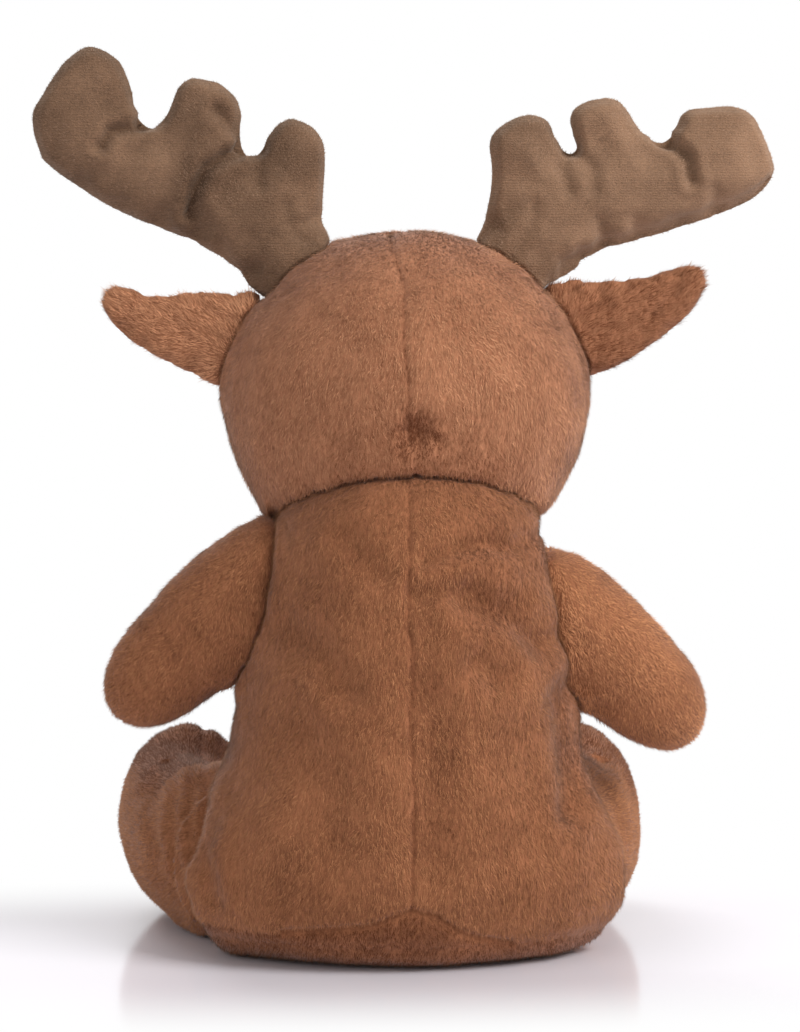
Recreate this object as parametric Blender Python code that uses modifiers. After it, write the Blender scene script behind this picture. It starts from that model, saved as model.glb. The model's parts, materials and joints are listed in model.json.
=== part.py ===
"""A seated plush deer, 0.33 m tall with its antlers: sewn covers, stuffing and plastic face parts.

Metres, +Z up. The deer faces -Y and its left side is +X. The origin is the middle of the flat
seat that it rests on. Each soft form is a coarse cage under Subdivision Surface. Its covers are
that form with Solidify, trimmed at their seams, and its stuffing is the same form drawn in.
"""

from collections import namedtuple
from math import cos, pi, radians, sin, sqrt

import bmesh
import bpy
from mathutils import Matrix, Vector
from mathutils.geometry import delaunay_2d_cdt

# Sides of the toy, as factors of x
LEFT = 1
RIGHT = -1
SIDE_NAMES = {LEFT: "left", RIGHT: "right"}

# Cloth, seams and clearances
COVER = 0.002
VELOUR = 0.0015
SEAM_GAP = 0.0003
FIT_GAP = 0.0003
BASE_FLAT = 0.0005
OVERRUN = 0.002
REACH = 0.8
FLAT_MERGE = 0.00001

# Torso
SHOULDER_HEIGHT = 0.138
TORSO_HALF_WIDTH = 0.0655
TORSO_HALF_DEPTH = 0.058
NECK_RADIUS = 0.052
NECK_PLAY = 0.0006
GROOVE_PLAY = 0.0008
NECK_SEAM_RISE = 0.026
NECK_SEAM_TILT = radians(18)
SEAT_SEAM_HEIGHT = 0.013
SIDE_SEAM_FORWARD = 0.010
PELLET_HALF_WIDTH = 0.036
PELLET_HEIGHT = 0.024
# Each row: height, half width, half depth, set-back and slump to its left, as shares of the sizes
# above
torso_shares = (
    (0.022, 1.04, 0.80, 0.06, 0.015),
    (0.140, 1.28, 0.96, 0.05, 0.020),
    (0.300, 1.24, 0.99, 0.03, 0.020),
    (0.450, 1.03, 1.00, 0.00, 0.040),
    (0.620, 0.96, 0.97, 0.00, 0.020),
    (0.850, 0.88, 0.92, 0.00, 0.000),
)
torso_foot_share = 0.50
# Each row: height and half width of the pellet bag, as shares of its own
pellet_shares = ((0.06, 0.72), (0.35, 1.0), (0.70, 0.92), (0.96, 0.50))
pellet_well_share = 0.9
pellet_well_depth_share = 0.5
dome_angles = (radians(12), radians(38), radians(64))

# Head
HEAD_HALF_WIDTH = 0.0700
HEAD_HALF_HEIGHT = 0.0620
HEAD_HALF_DEPTH = 0.060
HEAD_RISE = 0.065
HEAD_FORWARD = 0.018
CROWN_SEAM_FORWARD = 0.004
# Each row: height from the middle, half width, half depth, as shares
head_shares = (
    (-0.92, 0.50, 0.50),
    (-0.67, 0.80, 0.82),
    (-0.34, 0.965, 0.97),
    (0.02, 1.00, 1.00),
    (0.38, 0.90, 0.93),
    (0.70, 0.67, 0.70),
    (0.92, 0.34, 0.36),
)

# Muzzle, eyes and nose
MUZZLE_HALF_WIDTH = 0.031
MUZZLE_HALF_HEIGHT = 0.024
MUZZLE_HALF_LENGTH = 0.034
MUZZLE_DROP = 0.020
muzzle_forward_share = 0.87
EYE_RADIUS = 0.0068
EYE_SPREAD = 0.025
EYE_RISE = 0.008
eye_bulge_share = 0.75
NOSE_HALF_WIDTH = 0.0105
nose_height_share = 0.68
NOSE_LIFT = radians(19)
SHANK_RADIUS = 0.0017
WASHER_RADIUS = 0.0055
WASHER_THICKNESS = 0.0012
WASHER_SLACK = 0.0032
SHANK_TAIL = 0.0060
THREAD_RADIUS = 0.0006
MOUTH_HALF_TURN = radians(17)
MOUTH_LIFT = radians(-11)
MOUTH_SMILE = radians(7)
MOUTH_POINTS = 13

# Arms
# How far out each arm is sewn on, as a share of the torso's half width
shoulder_out_share = 0.771
SHOULDER_DROP = 0.0056
SHOULDER_UNEVEN = 0.0054
SHOULDER_LEAN = radians(9.5)
SHOULDER_RECESS = 0.0365
ARM_LENGTH = 0.0665
ARM_HALF_WIDTH = 0.0235
ARM_HALF_DEPTH = 0.0185
# Each row: outward, forward and down along the arm, as shares of its length, then both half
# sizes as shares of the arm's own
arm_shares = (
    (-0.10, 0.00, -0.04, 0.98, 0.92),
    (0.12, 0.02, 0.06, 1.00, 1.00),
    (0.35, 0.07, 0.27, 0.95, 0.98),
    (0.58, 0.15, 0.51, 0.90, 0.94),
    (0.76, 0.22, 0.71, 0.76, 0.84),
)
arm_root_share = (-0.30, 0.00, -0.12)
arm_tip_share = (0.91, 0.26, 0.90)

# Legs
HIP_FORWARD = 0.022
HIP_RISE = 0.0318
# How far out each hip sits, as a share of the torso's half width
hip_out_shares = {LEFT: 0.924, RIGHT: 0.763}
hip_turns = {LEFT: radians(20), RIGHT: radians(18)}
HIP_RECESS = 0.040
LEG_LENGTH = 0.100
LEG_HALF_HEIGHT = 0.034
LEG_HALF_WIDTH = 0.0305
SOLE_SEAM_INSET = 0.0085
LEG_SEAM_OUT = 0.0125
# Each row: outward, forward and up from the hip, as shares of the leg's length, then both half
# sizes as shares of the leg's own
leg_shares = (
    (-0.07, -0.03, 0.000, 0.92, 1.02),
    (0.10, 0.05, 0.000, 0.92, 1.00),
    (0.20, 0.27, 0.005, 0.80, 0.92),
    (0.22, 0.50, 0.015, 0.82, 0.94),
    (0.19, 0.72, 0.050, 0.94, 1.10),
    (0.18, 0.84, 0.055, 0.84, 1.00),
)
leg_root_share = (-0.20, -0.10, 0.0)
leg_tip_share = (0.18, 0.92, 0.055)

# Antlers: outlines in shares of the reach, from the middle of the base, outward and up
ANTLER_REACH = 0.102
ANTLER_ROUND = 0.011
ANTLER_LIFT = 0.0042
ANTLER_FORWARD = 0.002
ANTLER_GRID = 0.0125
antler_crown_share = 0.15
# How far out and up each base sits, as shares of the head's half width and half height
antler_seat_shares = {LEFT: (0.550, 0.685), RIGHT: (0.573, 0.766)}
antler_shares = {
    LEFT: (
        (-0.110, 0.076), (-0.092, 0.126), (-0.078, 0.209), (-0.092, 0.328), (-0.099, 0.404),
        (-0.096, 0.476), (-0.074, 0.523), (-0.031, 0.560), (0.034, 0.581), (0.088, 0.555),
        (0.117, 0.512), (0.150, 0.444), (0.189, 0.433), (0.207, 0.490), (0.204, 0.606),
        (0.225, 0.655), (0.290, 0.708), (0.391, 0.725), (0.440, 0.690), (0.474, 0.606),
        (0.495, 0.555), (0.521, 0.537), (0.555, 0.550), (0.583, 0.592), (0.593, 0.675),
        (0.633, 0.776), (0.690, 0.818), (0.752, 0.837), (0.800, 0.815), (0.853, 0.772),
        (0.907, 0.689), (0.965, 0.595), (0.962, 0.520), (0.930, 0.420), (0.875, 0.372),
        (0.795, 0.317), (0.676, 0.242), (0.521, 0.177), (0.391, 0.130), (0.283, 0.072),
        (0.200, 0.018), (0.110, -0.076),
    ),
    RIGHT: (
        (-0.115, 0.065), (-0.101, 0.148), (-0.083, 0.285), (-0.083, 0.350), (-0.094, 0.426),
        (-0.083, 0.470), (-0.045, 0.505), (0.010, 0.535), (0.061, 0.545), (0.110, 0.535),
        (0.144, 0.505), (0.151, 0.469), (0.180, 0.415), (0.210, 0.395), (0.232, 0.415),
        (0.216, 0.451), (0.195, 0.519), (0.215, 0.566), (0.271, 0.595), (0.335, 0.606),
        (0.385, 0.595), (0.418, 0.560), (0.447, 0.509), (0.483, 0.462), (0.530, 0.440),
        (0.558, 0.446), (0.584, 0.480), (0.606, 0.545), (0.645, 0.566), (0.703, 0.570),
        (0.797, 0.577), (0.850, 0.560), (0.885, 0.530), (0.915, 0.470), (0.940, 0.410),
        (0.959, 0.350), (0.950, 0.305), (0.923, 0.267), (0.869, 0.220), (0.750, 0.170),
        (0.613, 0.130), (0.473, 0.087), (0.335, 0.056), (0.255, 0.018), (0.170, -0.025),
        (0.115, -0.065),
    ),
}

# Ears: outlines in shares of the reach, from the middle of the base, outward and up
EAR_REACH = 0.0525
EAR_ROUND = 0.004
EAR_LIFT = 0.0022
EAR_GRID = 0.008
ear_crown_share = 0.10
ear_seat_shares = {LEFT: (0.864, 0.305), RIGHT: (0.873, 0.358)}
ear_shares = {
    LEFT: (
        (-0.145, 0.309), (0.027, 0.343), (0.330, 0.371), (0.501, 0.350), (0.659, 0.350),
        (0.728, 0.392), (0.804, 0.411), (0.880, 0.419), (0.954, 0.385), (0.996, 0.274),
        (0.962, 0.179), (0.851, 0.042), (0.680, -0.082), (0.501, -0.171), (0.330, -0.240),
        (0.145, -0.309),
    ),
    RIGHT: (
        (-0.185, 0.299), (-0.048, 0.326), (0.200, 0.368), (0.377, 0.381), (0.550, 0.402),
        (0.709, 0.457), (0.830, 0.484), (0.920, 0.478), (0.970, 0.402), (0.996, 0.341),
        (0.962, 0.265), (0.901, 0.141), (0.728, -0.017), (0.550, -0.141), (0.392, -0.236),
        (0.185, -0.299),
    ),
}

# Facets, and how far inside an outline the points of a puffed form lie
BODY_SIDES = 12
LIMB_SIDES = 8
SPHERE_SEGMENTS = 24
ROUND_SEGMENTS = 16
RIM_ANGLE = radians(45)
rim_share = 0.8
grid_share = 0.7


def place(x=0.0, y=0.0, z=0.0):
    return Vector((x, y, z))


UP = place(z=1)
BACK = place(y=1)
OUT = place(x=1)
NECK_CENTRE = place(z=SHOULDER_HEIGHT)
HEAD_CENTRE = NECK_CENTRE + place(y=-HEAD_FORWARD, z=HEAD_RISE)
CROWN_SEAM = HEAD_CENTRE - BACK * CROWN_SEAM_FORWARD
MUZZLE_CENTRE = HEAD_CENTRE - BACK * HEAD_HALF_DEPTH * muzzle_forward_share - UP * MUZZLE_DROP

# Where a flat form is sewn to the head: its outline, its frame, its hinge and half its base
Seat = namedtuple("Seat", "outline to_world pivot axis half_base")


def start_empty():
    for old in list(bpy.data.objects):
        bpy.data.objects.remove(old, do_unlink=True)


def new_collection(name, hidden=False):
    collection = bpy.data.collections.new(name)
    collection.hide_render = hidden
    bpy.context.scene.collection.children.link(collection)
    return collection


start_empty()
DEER = new_collection("plush_deer")
CUTTERS = new_collection("cutters", hidden=True)


def material(name, colour, roughness):
    made = bpy.data.materials.new(name)
    made.use_nodes = True
    shader = made.node_tree.nodes["Principled BSDF"]
    shader.inputs["Base Color"].default_value = (*colour, 1.0)
    shader.inputs["Roughness"].default_value = roughness
    shader.inputs["Metallic"].default_value = 0.0
    return made


HEAD_PLUSH = material("head_plush", (0.33, 0.145, 0.082), 0.95)
BODY_PLUSH = material("body_plush", (0.27, 0.108, 0.052), 0.95)
SEAT_PLUSH = material("seat_plush", (0.20, 0.075, 0.038), 0.95)
MUZZLE_PLUSH = material("muzzle_plush", (0.55, 0.36, 0.24), 0.95)
EAR_LINING = material("ear_lining", (0.50, 0.32, 0.22), 0.95)
ANTLER_VELOUR = material("antler_velour", (0.22, 0.130, 0.085), 0.9)
SOLE_PLUSH = material("sole_plush", (0.50, 0.32, 0.22), 0.95)
FILLING = material("white_filling", (0.85, 0.84, 0.80), 1.0)
PELLET_CLOTH = material("pellet_cloth", (0.75, 0.73, 0.68), 0.9)
BLACK_PLASTIC = material("black_plastic", (0.010, 0.008, 0.007), 0.12)
WASHER_PLASTIC = material("washer_plastic", (0.80, 0.80, 0.78), 0.5)
DARK_THREAD = material("dark_thread", (0.035, 0.016, 0.010), 0.8)


def joint_empty(name, at):
    """An empty on a joint's axis, which carries the pieces that turn with it."""
    empty = bpy.data.objects.new(name, None)
    empty.location = at
    DEER.objects.link(empty)
    return empty


def carry(obj, empty):
    obj.parent = empty
    obj.matrix_parent_inverse = Matrix.Translation(-empty.location)


def piece(name, mesh, finish, empty=None):
    obj = bpy.data.objects.new(name, mesh)
    DEER.objects.link(obj)
    obj.data.materials.append(finish)
    obj.data.shade_smooth()
    if empty is not None:
        carry(obj, empty)
    return obj


def cutter(name, mesh):
    obj = bpy.data.objects.new(name, mesh)
    CUTTERS.objects.link(obj)
    obj.hide_render = True
    obj.display_type = "WIRE"
    return obj


def mesh_of(name, build):
    """A mesh filled by a function of a bmesh, with its faces pointing out."""
    bm = bmesh.new()
    build(bm)
    bmesh.ops.recalc_face_normals(bm, faces=bm.faces)
    mesh = bpy.data.meshes.new(name)
    bm.to_mesh(mesh)
    bm.free()
    return mesh


def frame_along(direction, at):
    """A matrix whose Z axis is a direction, placed at a point."""
    return Matrix.Translation(at) @ direction.to_track_quat("Z", "Y").to_matrix().to_4x4()


def half_space(name, point, direction):
    """A large box that starts at a plane and fills the side that the direction points to."""
    to_world = frame_along(direction, point) @ Matrix.Translation(UP * REACH / 2)

    def build(bm):
        bmesh.ops.create_cube(bm, size=REACH, matrix=to_world)

    return cutter(name, mesh_of(name, build))


def ball(name, centre, radius):
    def build(bm):
        bmesh.ops.create_uvsphere(
            bm,
            u_segments=SPHERE_SEGMENTS,
            v_segments=SPHERE_SEGMENTS // 2,
            radius=radius,
            matrix=Matrix.Translation(centre),
        )

    return cutter(name, mesh_of(name, build))


def rod_mesh(name, start, end, radius, segments=ROUND_SEGMENTS):
    def build(bm):
        bmesh.ops.create_cone(
            bm,
            cap_ends=True,
            segments=segments,
            radius1=radius,
            radius2=radius,
            depth=(end - start).length,
            matrix=frame_along(end - start, (start + end) / 2),
        )

    return mesh_of(name, build)


def rod(name, start, end, radius, segments=ROUND_SEGMENTS):
    return cutter(name, rod_mesh(name, start, end, radius, segments))


def boolean(obj, other, operation, solver="EXACT"):
    step = obj.modifiers.new(operation.lower(), "BOOLEAN")
    step.operation = operation
    step.solver = solver
    step.object = other


def keep(obj, *regions, solver="EXACT"):
    for region in regions:
        boolean(obj, region, "INTERSECT", solver)


def cut(obj, *tools, solver="EXACT"):
    for tool in tools:
        boolean(obj, tool, "DIFFERENCE", solver)


def soften(obj, levels=1):
    smooth = obj.modifiers.new("soft", "SUBSURF")
    smooth.levels = levels
    smooth.render_levels = levels


def hollow(obj, cloth):
    shell = obj.modifiers.new("cloth", "SOLIDIFY")
    shell.thickness = cloth
    shell.offset = -1


def draw_in(obj, depth):
    inner = obj.modifiers.new("filling", "DISPLACE")
    inner.mid_level = 0
    inner.strength = -depth


def corner_share(turn):
    """How far one subdivision draws in the corners of an arc, which are this turn apart."""
    return (3 + cos(turn)) / 4


def cage(name, rings, first, last, sides):
    """A closed cage through rings, each a middle and two half axes, with a point at each end."""

    def build(bm):
        loops = []
        for middle, across, along in rings:
            turns = [2 * pi * i / sides for i in range(sides)]
            grow = 1 / corner_share(2 * pi / sides)
            loops.append(
                [bm.verts.new(middle + (across * cos(a) + along * sin(a)) * grow) for a in turns]
            )
        for low, high in zip(loops, loops[1:]):
            for i in range(sides):
                j = (i + 1) % sides
                bm.faces.new((low[i], low[j], high[j], high[i]))
        for loop, pole in ((loops[0], first), (loops[-1], last)):
            tip = bm.verts.new(pole)
            for i in range(sides):
                bm.faces.new((loop[i], loop[(i + 1) % sides], tip))

    return mesh_of(name, build)


def upright_cage(name, rows, foot, top):
    """A cage of level rings: each row is a middle point, a half width and a half depth."""
    rings = [(middle, OUT * wide, BACK * deep) for middle, wide, deep in rows]
    return cage(name, rings, foot, top, BODY_SIDES)


def limb_cage(name, rows, first, last, reference):
    """A cage along a bent line: each row is a middle and half sizes along and across a reference."""
    middles = [row[0] for row in rows]
    ends = [first] + middles + [last]
    rings = []
    for i, (middle, along, across) in enumerate(rows):
        tangent = (ends[i + 2] - ends[i]).normalized()
        main = (reference - tangent * reference.dot(tangent)).normalized()
        rings.append((middle, main * along, tangent.cross(main) * across))
    return cage(name, rings, first, last, LIMB_SIDES)


def edge_distance(point, outline):
    """How far a flat point lies from the nearest edge of an outline."""
    best = REACH
    for a, b in zip(outline, outline[1:] + outline[:1]):
        along = b - a
        share = max(0.0, min(1.0, (point - a).dot(along) / along.length_squared))
        best = min(best, (point - a - along * share).length)
    return best


def inside(point, outline):
    odd = False
    for a, b in zip(outline, outline[1:] + outline[:1]):
        if (a.y > point.y) != (b.y > point.y):
            if point.x < a.x + (b.x - a.x) * (point.y - a.y) / (b.y - a.y):
                odd = not odd
    return odd


def puffed_height(distance, edge_radius, crown):
    """Half thickness of a stuffed flat form: a quarter circle at its edge, then a slow crown."""
    if distance < edge_radius:
        return sqrt(distance * (2 * edge_radius - distance))
    return edge_radius * (1 + crown * (1 - edge_radius / distance))


def puffed_mesh(name, outline, edge_radius, crown, grid, to_world):
    """Two mirrored domes over a flat outline, which meet along it."""
    inner = []
    inset = edge_radius * (1 - cos(RIM_ANGLE))
    for a, b in zip(outline, outline[1:] + outline[:1]):
        edge = b - a
        spot = (a + b) / 2 + Vector((-edge.y, edge.x)).normalized() * inset
        if inside(spot, outline) and edge_distance(spot, outline) > rim_share * inset:
            inner.append(spot)
    low = [min(p[i] for p in outline) for i in (0, 1)]
    high = [max(p[i] for p in outline) for i in (0, 1)]
    row_step = grid * sqrt(3) / 2
    for row in range(int((high[1] - low[1]) / row_step) + 1):
        for column in range(int((high[0] - low[0]) / grid) + 1):
            spot = Vector((low[0] + (column + row % 2 / 2) * grid, low[1] + row * row_step))
            if inside(spot, outline) and edge_distance(spot, outline) > edge_radius * grid_share:
                inner.append(spot)
    edges = [(i, (i + 1) % len(outline)) for i in range(len(outline))]
    flat, _, faces, _, _, _ = delaunay_2d_cdt(outline + inner, edges, [], 1, FLAT_MERGE)

    def build(bm):
        rim = len(outline)
        heights = [
            0.0 if i < rim else puffed_height(edge_distance(p, outline), edge_radius, crown)
            for i, p in enumerate(flat)
        ]
        domes = []
        for sign in (1, -1):
            dome = []
            for i, (p, height) in enumerate(zip(flat, heights)):
                if i < rim and domes:
                    dome.append(domes[0][i])
                else:
                    dome.append(bm.verts.new(to_world @ place(p.x, p.y, sign * height)))
            domes.append(dome)
            for face in faces:
                bm.faces.new([dome[i] for i in (face if sign > 0 else reversed(face))])

    return mesh_of(name, build)


FLOOR_SIDE = half_space("floor_cut", place(), UP)
SEAM_SIDES = {
    side: half_space(f"{SIDE_NAMES[side]}_of_centre_seam", OUT * side * SEAM_GAP / 2, OUT * side)
    for side in (LEFT, RIGHT)
}


def make_torso():
    """Two back covers, the belly, the seat, the filling and the bag of pellets in the seat."""
    foot = place(y=torso_shares[0][3] * TORSO_HALF_DEPTH, z=-BASE_FLAT)
    rows = [(foot, torso_foot_share * TORSO_HALF_WIDTH, torso_foot_share * TORSO_HALF_DEPTH)]
    for high, wide, deep, back, slump in torso_shares:
        middle = place(slump * TORSO_HALF_WIDTH, back * TORSO_HALF_DEPTH, high * SHOULDER_HEIGHT)
        rows.append((middle, wide * TORSO_HALF_WIDTH, deep * TORSO_HALF_DEPTH))
    dome = NECK_RADIUS / corner_share(dome_angles[1] - dome_angles[0])
    for angle in dome_angles:
        middle = NECK_CENTRE + UP * dome * sin(angle)
        rows.append((middle, dome * cos(angle), dome * cos(angle)))
    form = upright_cage("torso_form", rows, foot, NECK_CENTRE + UP * dome)

    neck_up = Matrix.Rotation(NECK_SEAM_TILT, 3, "X") @ UP
    neck_seam = NECK_CENTRE + UP * NECK_SEAM_RISE
    below_neck = half_space("below_neck_seam", neck_seam - neck_up * SEAM_GAP / 2, -neck_up)
    seat_seam = place(z=SEAT_SEAM_HEIGHT)
    above_seat = half_space("above_seat_seam", seat_seam + UP * SEAM_GAP / 2, UP)
    below_seat = half_space("below_seat_seam", seat_seam - UP * SEAM_GAP / 2, -UP)
    side_seam = -BACK * SIDE_SEAM_FORWARD
    behind_side = half_space("behind_side_seam", side_seam + BACK * SEAM_GAP / 2, BACK)
    before_side = half_space("before_side_seam", side_seam - BACK * SEAM_GAP / 2, -BACK)

    recesses = []
    for side in (LEFT, RIGHT):
        recesses.append(limb_recess("shoulder", side, *shoulder(side), SHOULDER_RECESS))
        recesses.append(limb_recess("hip", side, *hip(side), HIP_RECESS))

    back_regions = (behind_side, above_seat, below_neck)
    covers = {
        "body_back_left": (BODY_PLUSH, (SEAM_SIDES[LEFT], *back_regions)),
        "body_back_right": (BODY_PLUSH, (SEAM_SIDES[RIGHT], *back_regions)),
        "belly": (BODY_PLUSH, (before_side, above_seat, below_neck)),
        "seat": (SEAT_PLUSH, (below_seat, FLOOR_SIDE)),
    }
    for name, (finish, regions) in covers.items():
        cover = piece(name, form.copy(), finish)
        soften(cover)
        hollow(cover, COVER)
        # The exact solver loses the seat and a back cover on a taller torso
        keep(cover, *regions, solver="MANIFOLD")
        cut(cover, *recesses)

    bag_form = pellet_form("pellet_bag_form", 0.0)
    bag = piece("pellet_bag", bag_form, PELLET_CLOTH)
    soften(bag)
    bag_room = cutter("pellet_room", pellet_form("pellet_room_form", NECK_PLAY))
    soften(bag_room)

    filling = piece("body_stuffing", form.copy(), FILLING)
    soften(filling)
    draw_in(filling, COVER + FIT_GAP)
    below_bag = rod(
        "pellet_well",
        foot - UP * OVERRUN,
        foot + UP * (COVER + PELLET_HEIGHT * pellet_well_depth_share),
        PELLET_HALF_WIDTH * pellet_well_share,
    )
    cut(filling, bag_room, below_bag, *recesses)


def pellet_form(name, grow):
    """The pellet bag's flat round form on the seat cover, or the room for it in the filling."""
    floor = COVER + FIT_GAP
    back = torso_shares[0][3] * TORSO_HALF_DEPTH
    rows = []
    for high, wide in pellet_shares:
        middle = place(y=back, z=floor + high * (PELLET_HEIGHT + grow))
        rows.append((middle, wide * PELLET_HALF_WIDTH + grow, wide * PELLET_HALF_WIDTH + grow))
    first = place(y=back, z=floor - grow)
    last = place(y=back, z=floor + PELLET_HEIGHT + grow)
    return upright_cage(name, rows, first, last)


def shoulder(side):
    """The middle of an arm's seam on the torso, and the outward direction of its hinge."""
    lean = SHOULDER_LEAN
    rise = SHOULDER_HEIGHT - SHOULDER_DROP + side * SHOULDER_UNEVEN
    out = shoulder_out_share * TORSO_HALF_WIDTH
    return place(side * out, 0.0, rise), place(side * cos(lean), 0.0, sin(lean))


def hip(side):
    """The middle of a leg's seam on the torso, and the outward direction of its hinge."""
    at = place(side * hip_out_shares[side] * TORSO_HALF_WIDTH, -HIP_FORWARD, HIP_RISE)
    turn = hip_turns[side]
    return at, place(side * cos(turn), -sin(turn), 0.0)


def limb_recess(joint, side, at, outward, radius):
    """A round flat that a limb's root turns on, cut into the torso."""
    start = at - outward * FIT_GAP / 2
    return rod(f"{joint}_recess_{SIDE_NAMES[side]}", start, start + outward * radius, radius)


def beyond_seam(joint, side, at, outward):
    """The limb's side of the round flat."""
    return half_space(f"{joint}_side_{SIDE_NAMES[side]}", at + outward * FIT_GAP / 2, outward)


def make_arm(side):
    """A back cover, a front cover and the filling of one arm."""
    name = SIDE_NAMES[side]
    at, outward = shoulder(side)
    empty = joint_empty(f"shoulder_pivot_{name}", at)

    def spot(shares):
        return at + place(side * shares[0], -shares[1], -shares[2]) * ARM_LENGTH

    rows = [
        (spot(row), row[4] * ARM_HALF_DEPTH, row[3] * ARM_HALF_WIDTH) for row in arm_shares
    ]
    form = limb_cage(f"arm_form_{name}", rows, spot(arm_root_share), spot(arm_tip_share), BACK)
    tip = spot(arm_tip_share) - at
    seam = place(-tip.y, tip.x, 0.0).normalized() * side
    root = beyond_seam("shoulder", side, at, outward)
    for word, way in (("back", seam), ("front", -seam)):
        region = half_space(f"arm_{word}_side_{name}", at + way * SEAM_GAP / 2, way)
        cover = piece(f"arm_{word}_{name}", form.copy(), BODY_PLUSH, empty)
        soften(cover)
        hollow(cover, COVER)
        keep(cover, region, root)
    filling = piece(f"arm_stuffing_{name}", form.copy(), FILLING, empty)
    soften(filling)
    draw_in(filling, COVER + FIT_GAP)
    keep(filling, root)


def make_leg(side):
    """An outer cover, an inner cover, the sole and the filling of one leg."""
    name = SIDE_NAMES[side]
    at, outward = hip(side)
    empty = joint_empty(f"hip_pivot_{name}", at)

    def spot(shares):
        return at + place(side * shares[0], -shares[1], shares[2]) * LEG_LENGTH

    rows = [
        (spot(row), row[4] * LEG_HALF_HEIGHT, row[3] * LEG_HALF_WIDTH) for row in leg_shares
    ]
    form = limb_cage(f"leg_form_{name}", rows, spot(leg_root_share), spot(leg_tip_share), UP)
    sole_seam = spot(leg_tip_share) + BACK * SOLE_SEAM_INSET
    behind_sole = half_space(f"behind_sole_{name}", sole_seam + BACK * SEAM_GAP / 2, BACK)
    before_sole = half_space(f"before_sole_{name}", sole_seam - BACK * SEAM_GAP / 2, -BACK)
    seam = at + OUT * side * LEG_SEAM_OUT
    outside = half_space(f"leg_outside_{name}", seam + OUT * side * SEAM_GAP / 2, OUT * side)
    within = half_space(f"leg_within_{name}", seam - OUT * side * SEAM_GAP / 2, -OUT * side)
    root = beyond_seam("hip", side, at, outward)
    covers = {
        f"leg_outer_{name}": (BODY_PLUSH, (outside, behind_sole, root, FLOOR_SIDE)),
        f"leg_inner_{name}": (BODY_PLUSH, (within, behind_sole, root, FLOOR_SIDE)),
        f"foot_sole_{name}": (SOLE_PLUSH, (before_sole, FLOOR_SIDE)),
    }
    for cover_name, (finish, regions) in covers.items():
        cover = piece(cover_name, form.copy(), finish, empty)
        soften(cover)
        hollow(cover, COVER)
        # The exact solver drops the outer cover, whose two walls it meets at the sole's tight turn
        keep(cover, *regions, solver="MANIFOLD")
    filling = piece(f"leg_stuffing_{name}", form.copy(), FILLING, empty)
    soften(filling)
    draw_in(filling, COVER + FIT_GAP)
    keep(filling, root)


def base_line(shares):
    """The direction along a sewn base, and the way out of the head, from an outline's two ends."""
    first = Vector(shares[0])
    last = Vector(shares[-1])
    along = (first - last).normalized()
    return along, Vector((along.y, -along.x))


def set_on_head(side, seat, shares, reach, edge_radius, lift, back_set):
    """The seat of a flat form whose rounded base sits in a groove of the head."""
    along, outward = base_line(shares)
    outline = [Vector(share) * reach for share in shares]
    depth = edge_radius - lift
    first = outline[0] - outward * depth
    last = outline[-1] - outward * depth
    outline = [first] + outline + [last]
    outline.reverse()
    out, up = seat
    origin = CROWN_SEAM + place(side * out * HEAD_HALF_WIDTH, back_set, up * HEAD_HALF_HEIGHT)
    to_world = Matrix.Translation(origin) @ Matrix(
        ((side, 0, 0, 0), (0, 0, 1, 0), (0, 1, 0, 0), (0, 0, 0, 1))
    )
    pivot = to_world @ place(*(outward * lift), 0.0)
    axis = to_world.to_3x3() @ place(*along, 0.0)
    return Seat(outline, to_world, pivot, axis, (first - last).length / 2)


def antler_seat(side):
    sizes = (ANTLER_REACH, ANTLER_ROUND, ANTLER_LIFT)
    return set_on_head(side, antler_seat_shares[side], antler_shares[side], *sizes, -ANTLER_FORWARD)


def ear_seat(side):
    sizes = (EAR_REACH, EAR_ROUND, EAR_LIFT)
    return set_on_head(side, ear_seat_shares[side], ear_shares[side], *sizes, 0.0)


def make_antler(side):
    """A back cover, a front cover and the filling of one antler."""
    name = SIDE_NAMES[side]
    seat = antler_seat(side)
    empty = joint_empty(f"antler_pivot_{name}", seat.pivot)
    sizes = (ANTLER_ROUND, antler_crown_share, ANTLER_GRID)
    form = puffed_mesh(f"antler_form_{name}", seat.outline, *sizes, seat.to_world)
    for word, way in (("back", BACK), ("front", -BACK)):
        region = half_space(f"antler_{word}_side_{name}", seat.pivot + way * SEAM_GAP / 2, way)
        cover = piece(f"antler_{word}_{name}", form.copy(), ANTLER_VELOUR, empty)
        hollow(cover, VELOUR)
        keep(cover, region)
    filling = piece(f"antler_stuffing_{name}", form.copy(), FILLING, empty)
    draw_in(filling, VELOUR + FIT_GAP)


def make_ear(side):
    """A plush back and a lining in front of one ear, sewn round their edge with no filling."""
    name = SIDE_NAMES[side]
    seat = ear_seat(side)
    empty = joint_empty(f"ear_pivot_{name}", seat.pivot)
    sizes = (EAR_ROUND, ear_crown_share, EAR_GRID)
    form = puffed_mesh(f"ear_form_{name}", seat.outline, *sizes, seat.to_world)
    for word, way, finish in (("back", BACK, HEAD_PLUSH), ("lining", -BACK, EAR_LINING)):
        region = half_space(f"ear_{word}_side_{name}", seat.pivot + way * SEAM_GAP / 2, way)
        half = piece(f"ear_{word}_{name}", form.copy(), finish, empty)
        keep(half, region)


def head_form(name, grow=0.0):
    rows = []
    for high, wide, deep in head_shares:
        middle = HEAD_CENTRE + UP * high * (HEAD_HALF_HEIGHT + grow)
        rows.append((middle, wide * HEAD_HALF_WIDTH + grow, deep * HEAD_HALF_DEPTH + grow))
    reach = UP * (HEAD_HALF_HEIGHT + grow)
    return upright_cage(name, rows, HEAD_CENTRE - reach, HEAD_CENTRE + reach)


def skin_point(skin, start, way):
    """Where a ray from inside a form leaves it, and the way out of the form there."""
    surface = skin.evaluated_get(bpy.context.evaluated_depsgraph_get())
    _, at, outward, _ = surface.ray_cast(start, way)
    return at, outward


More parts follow.
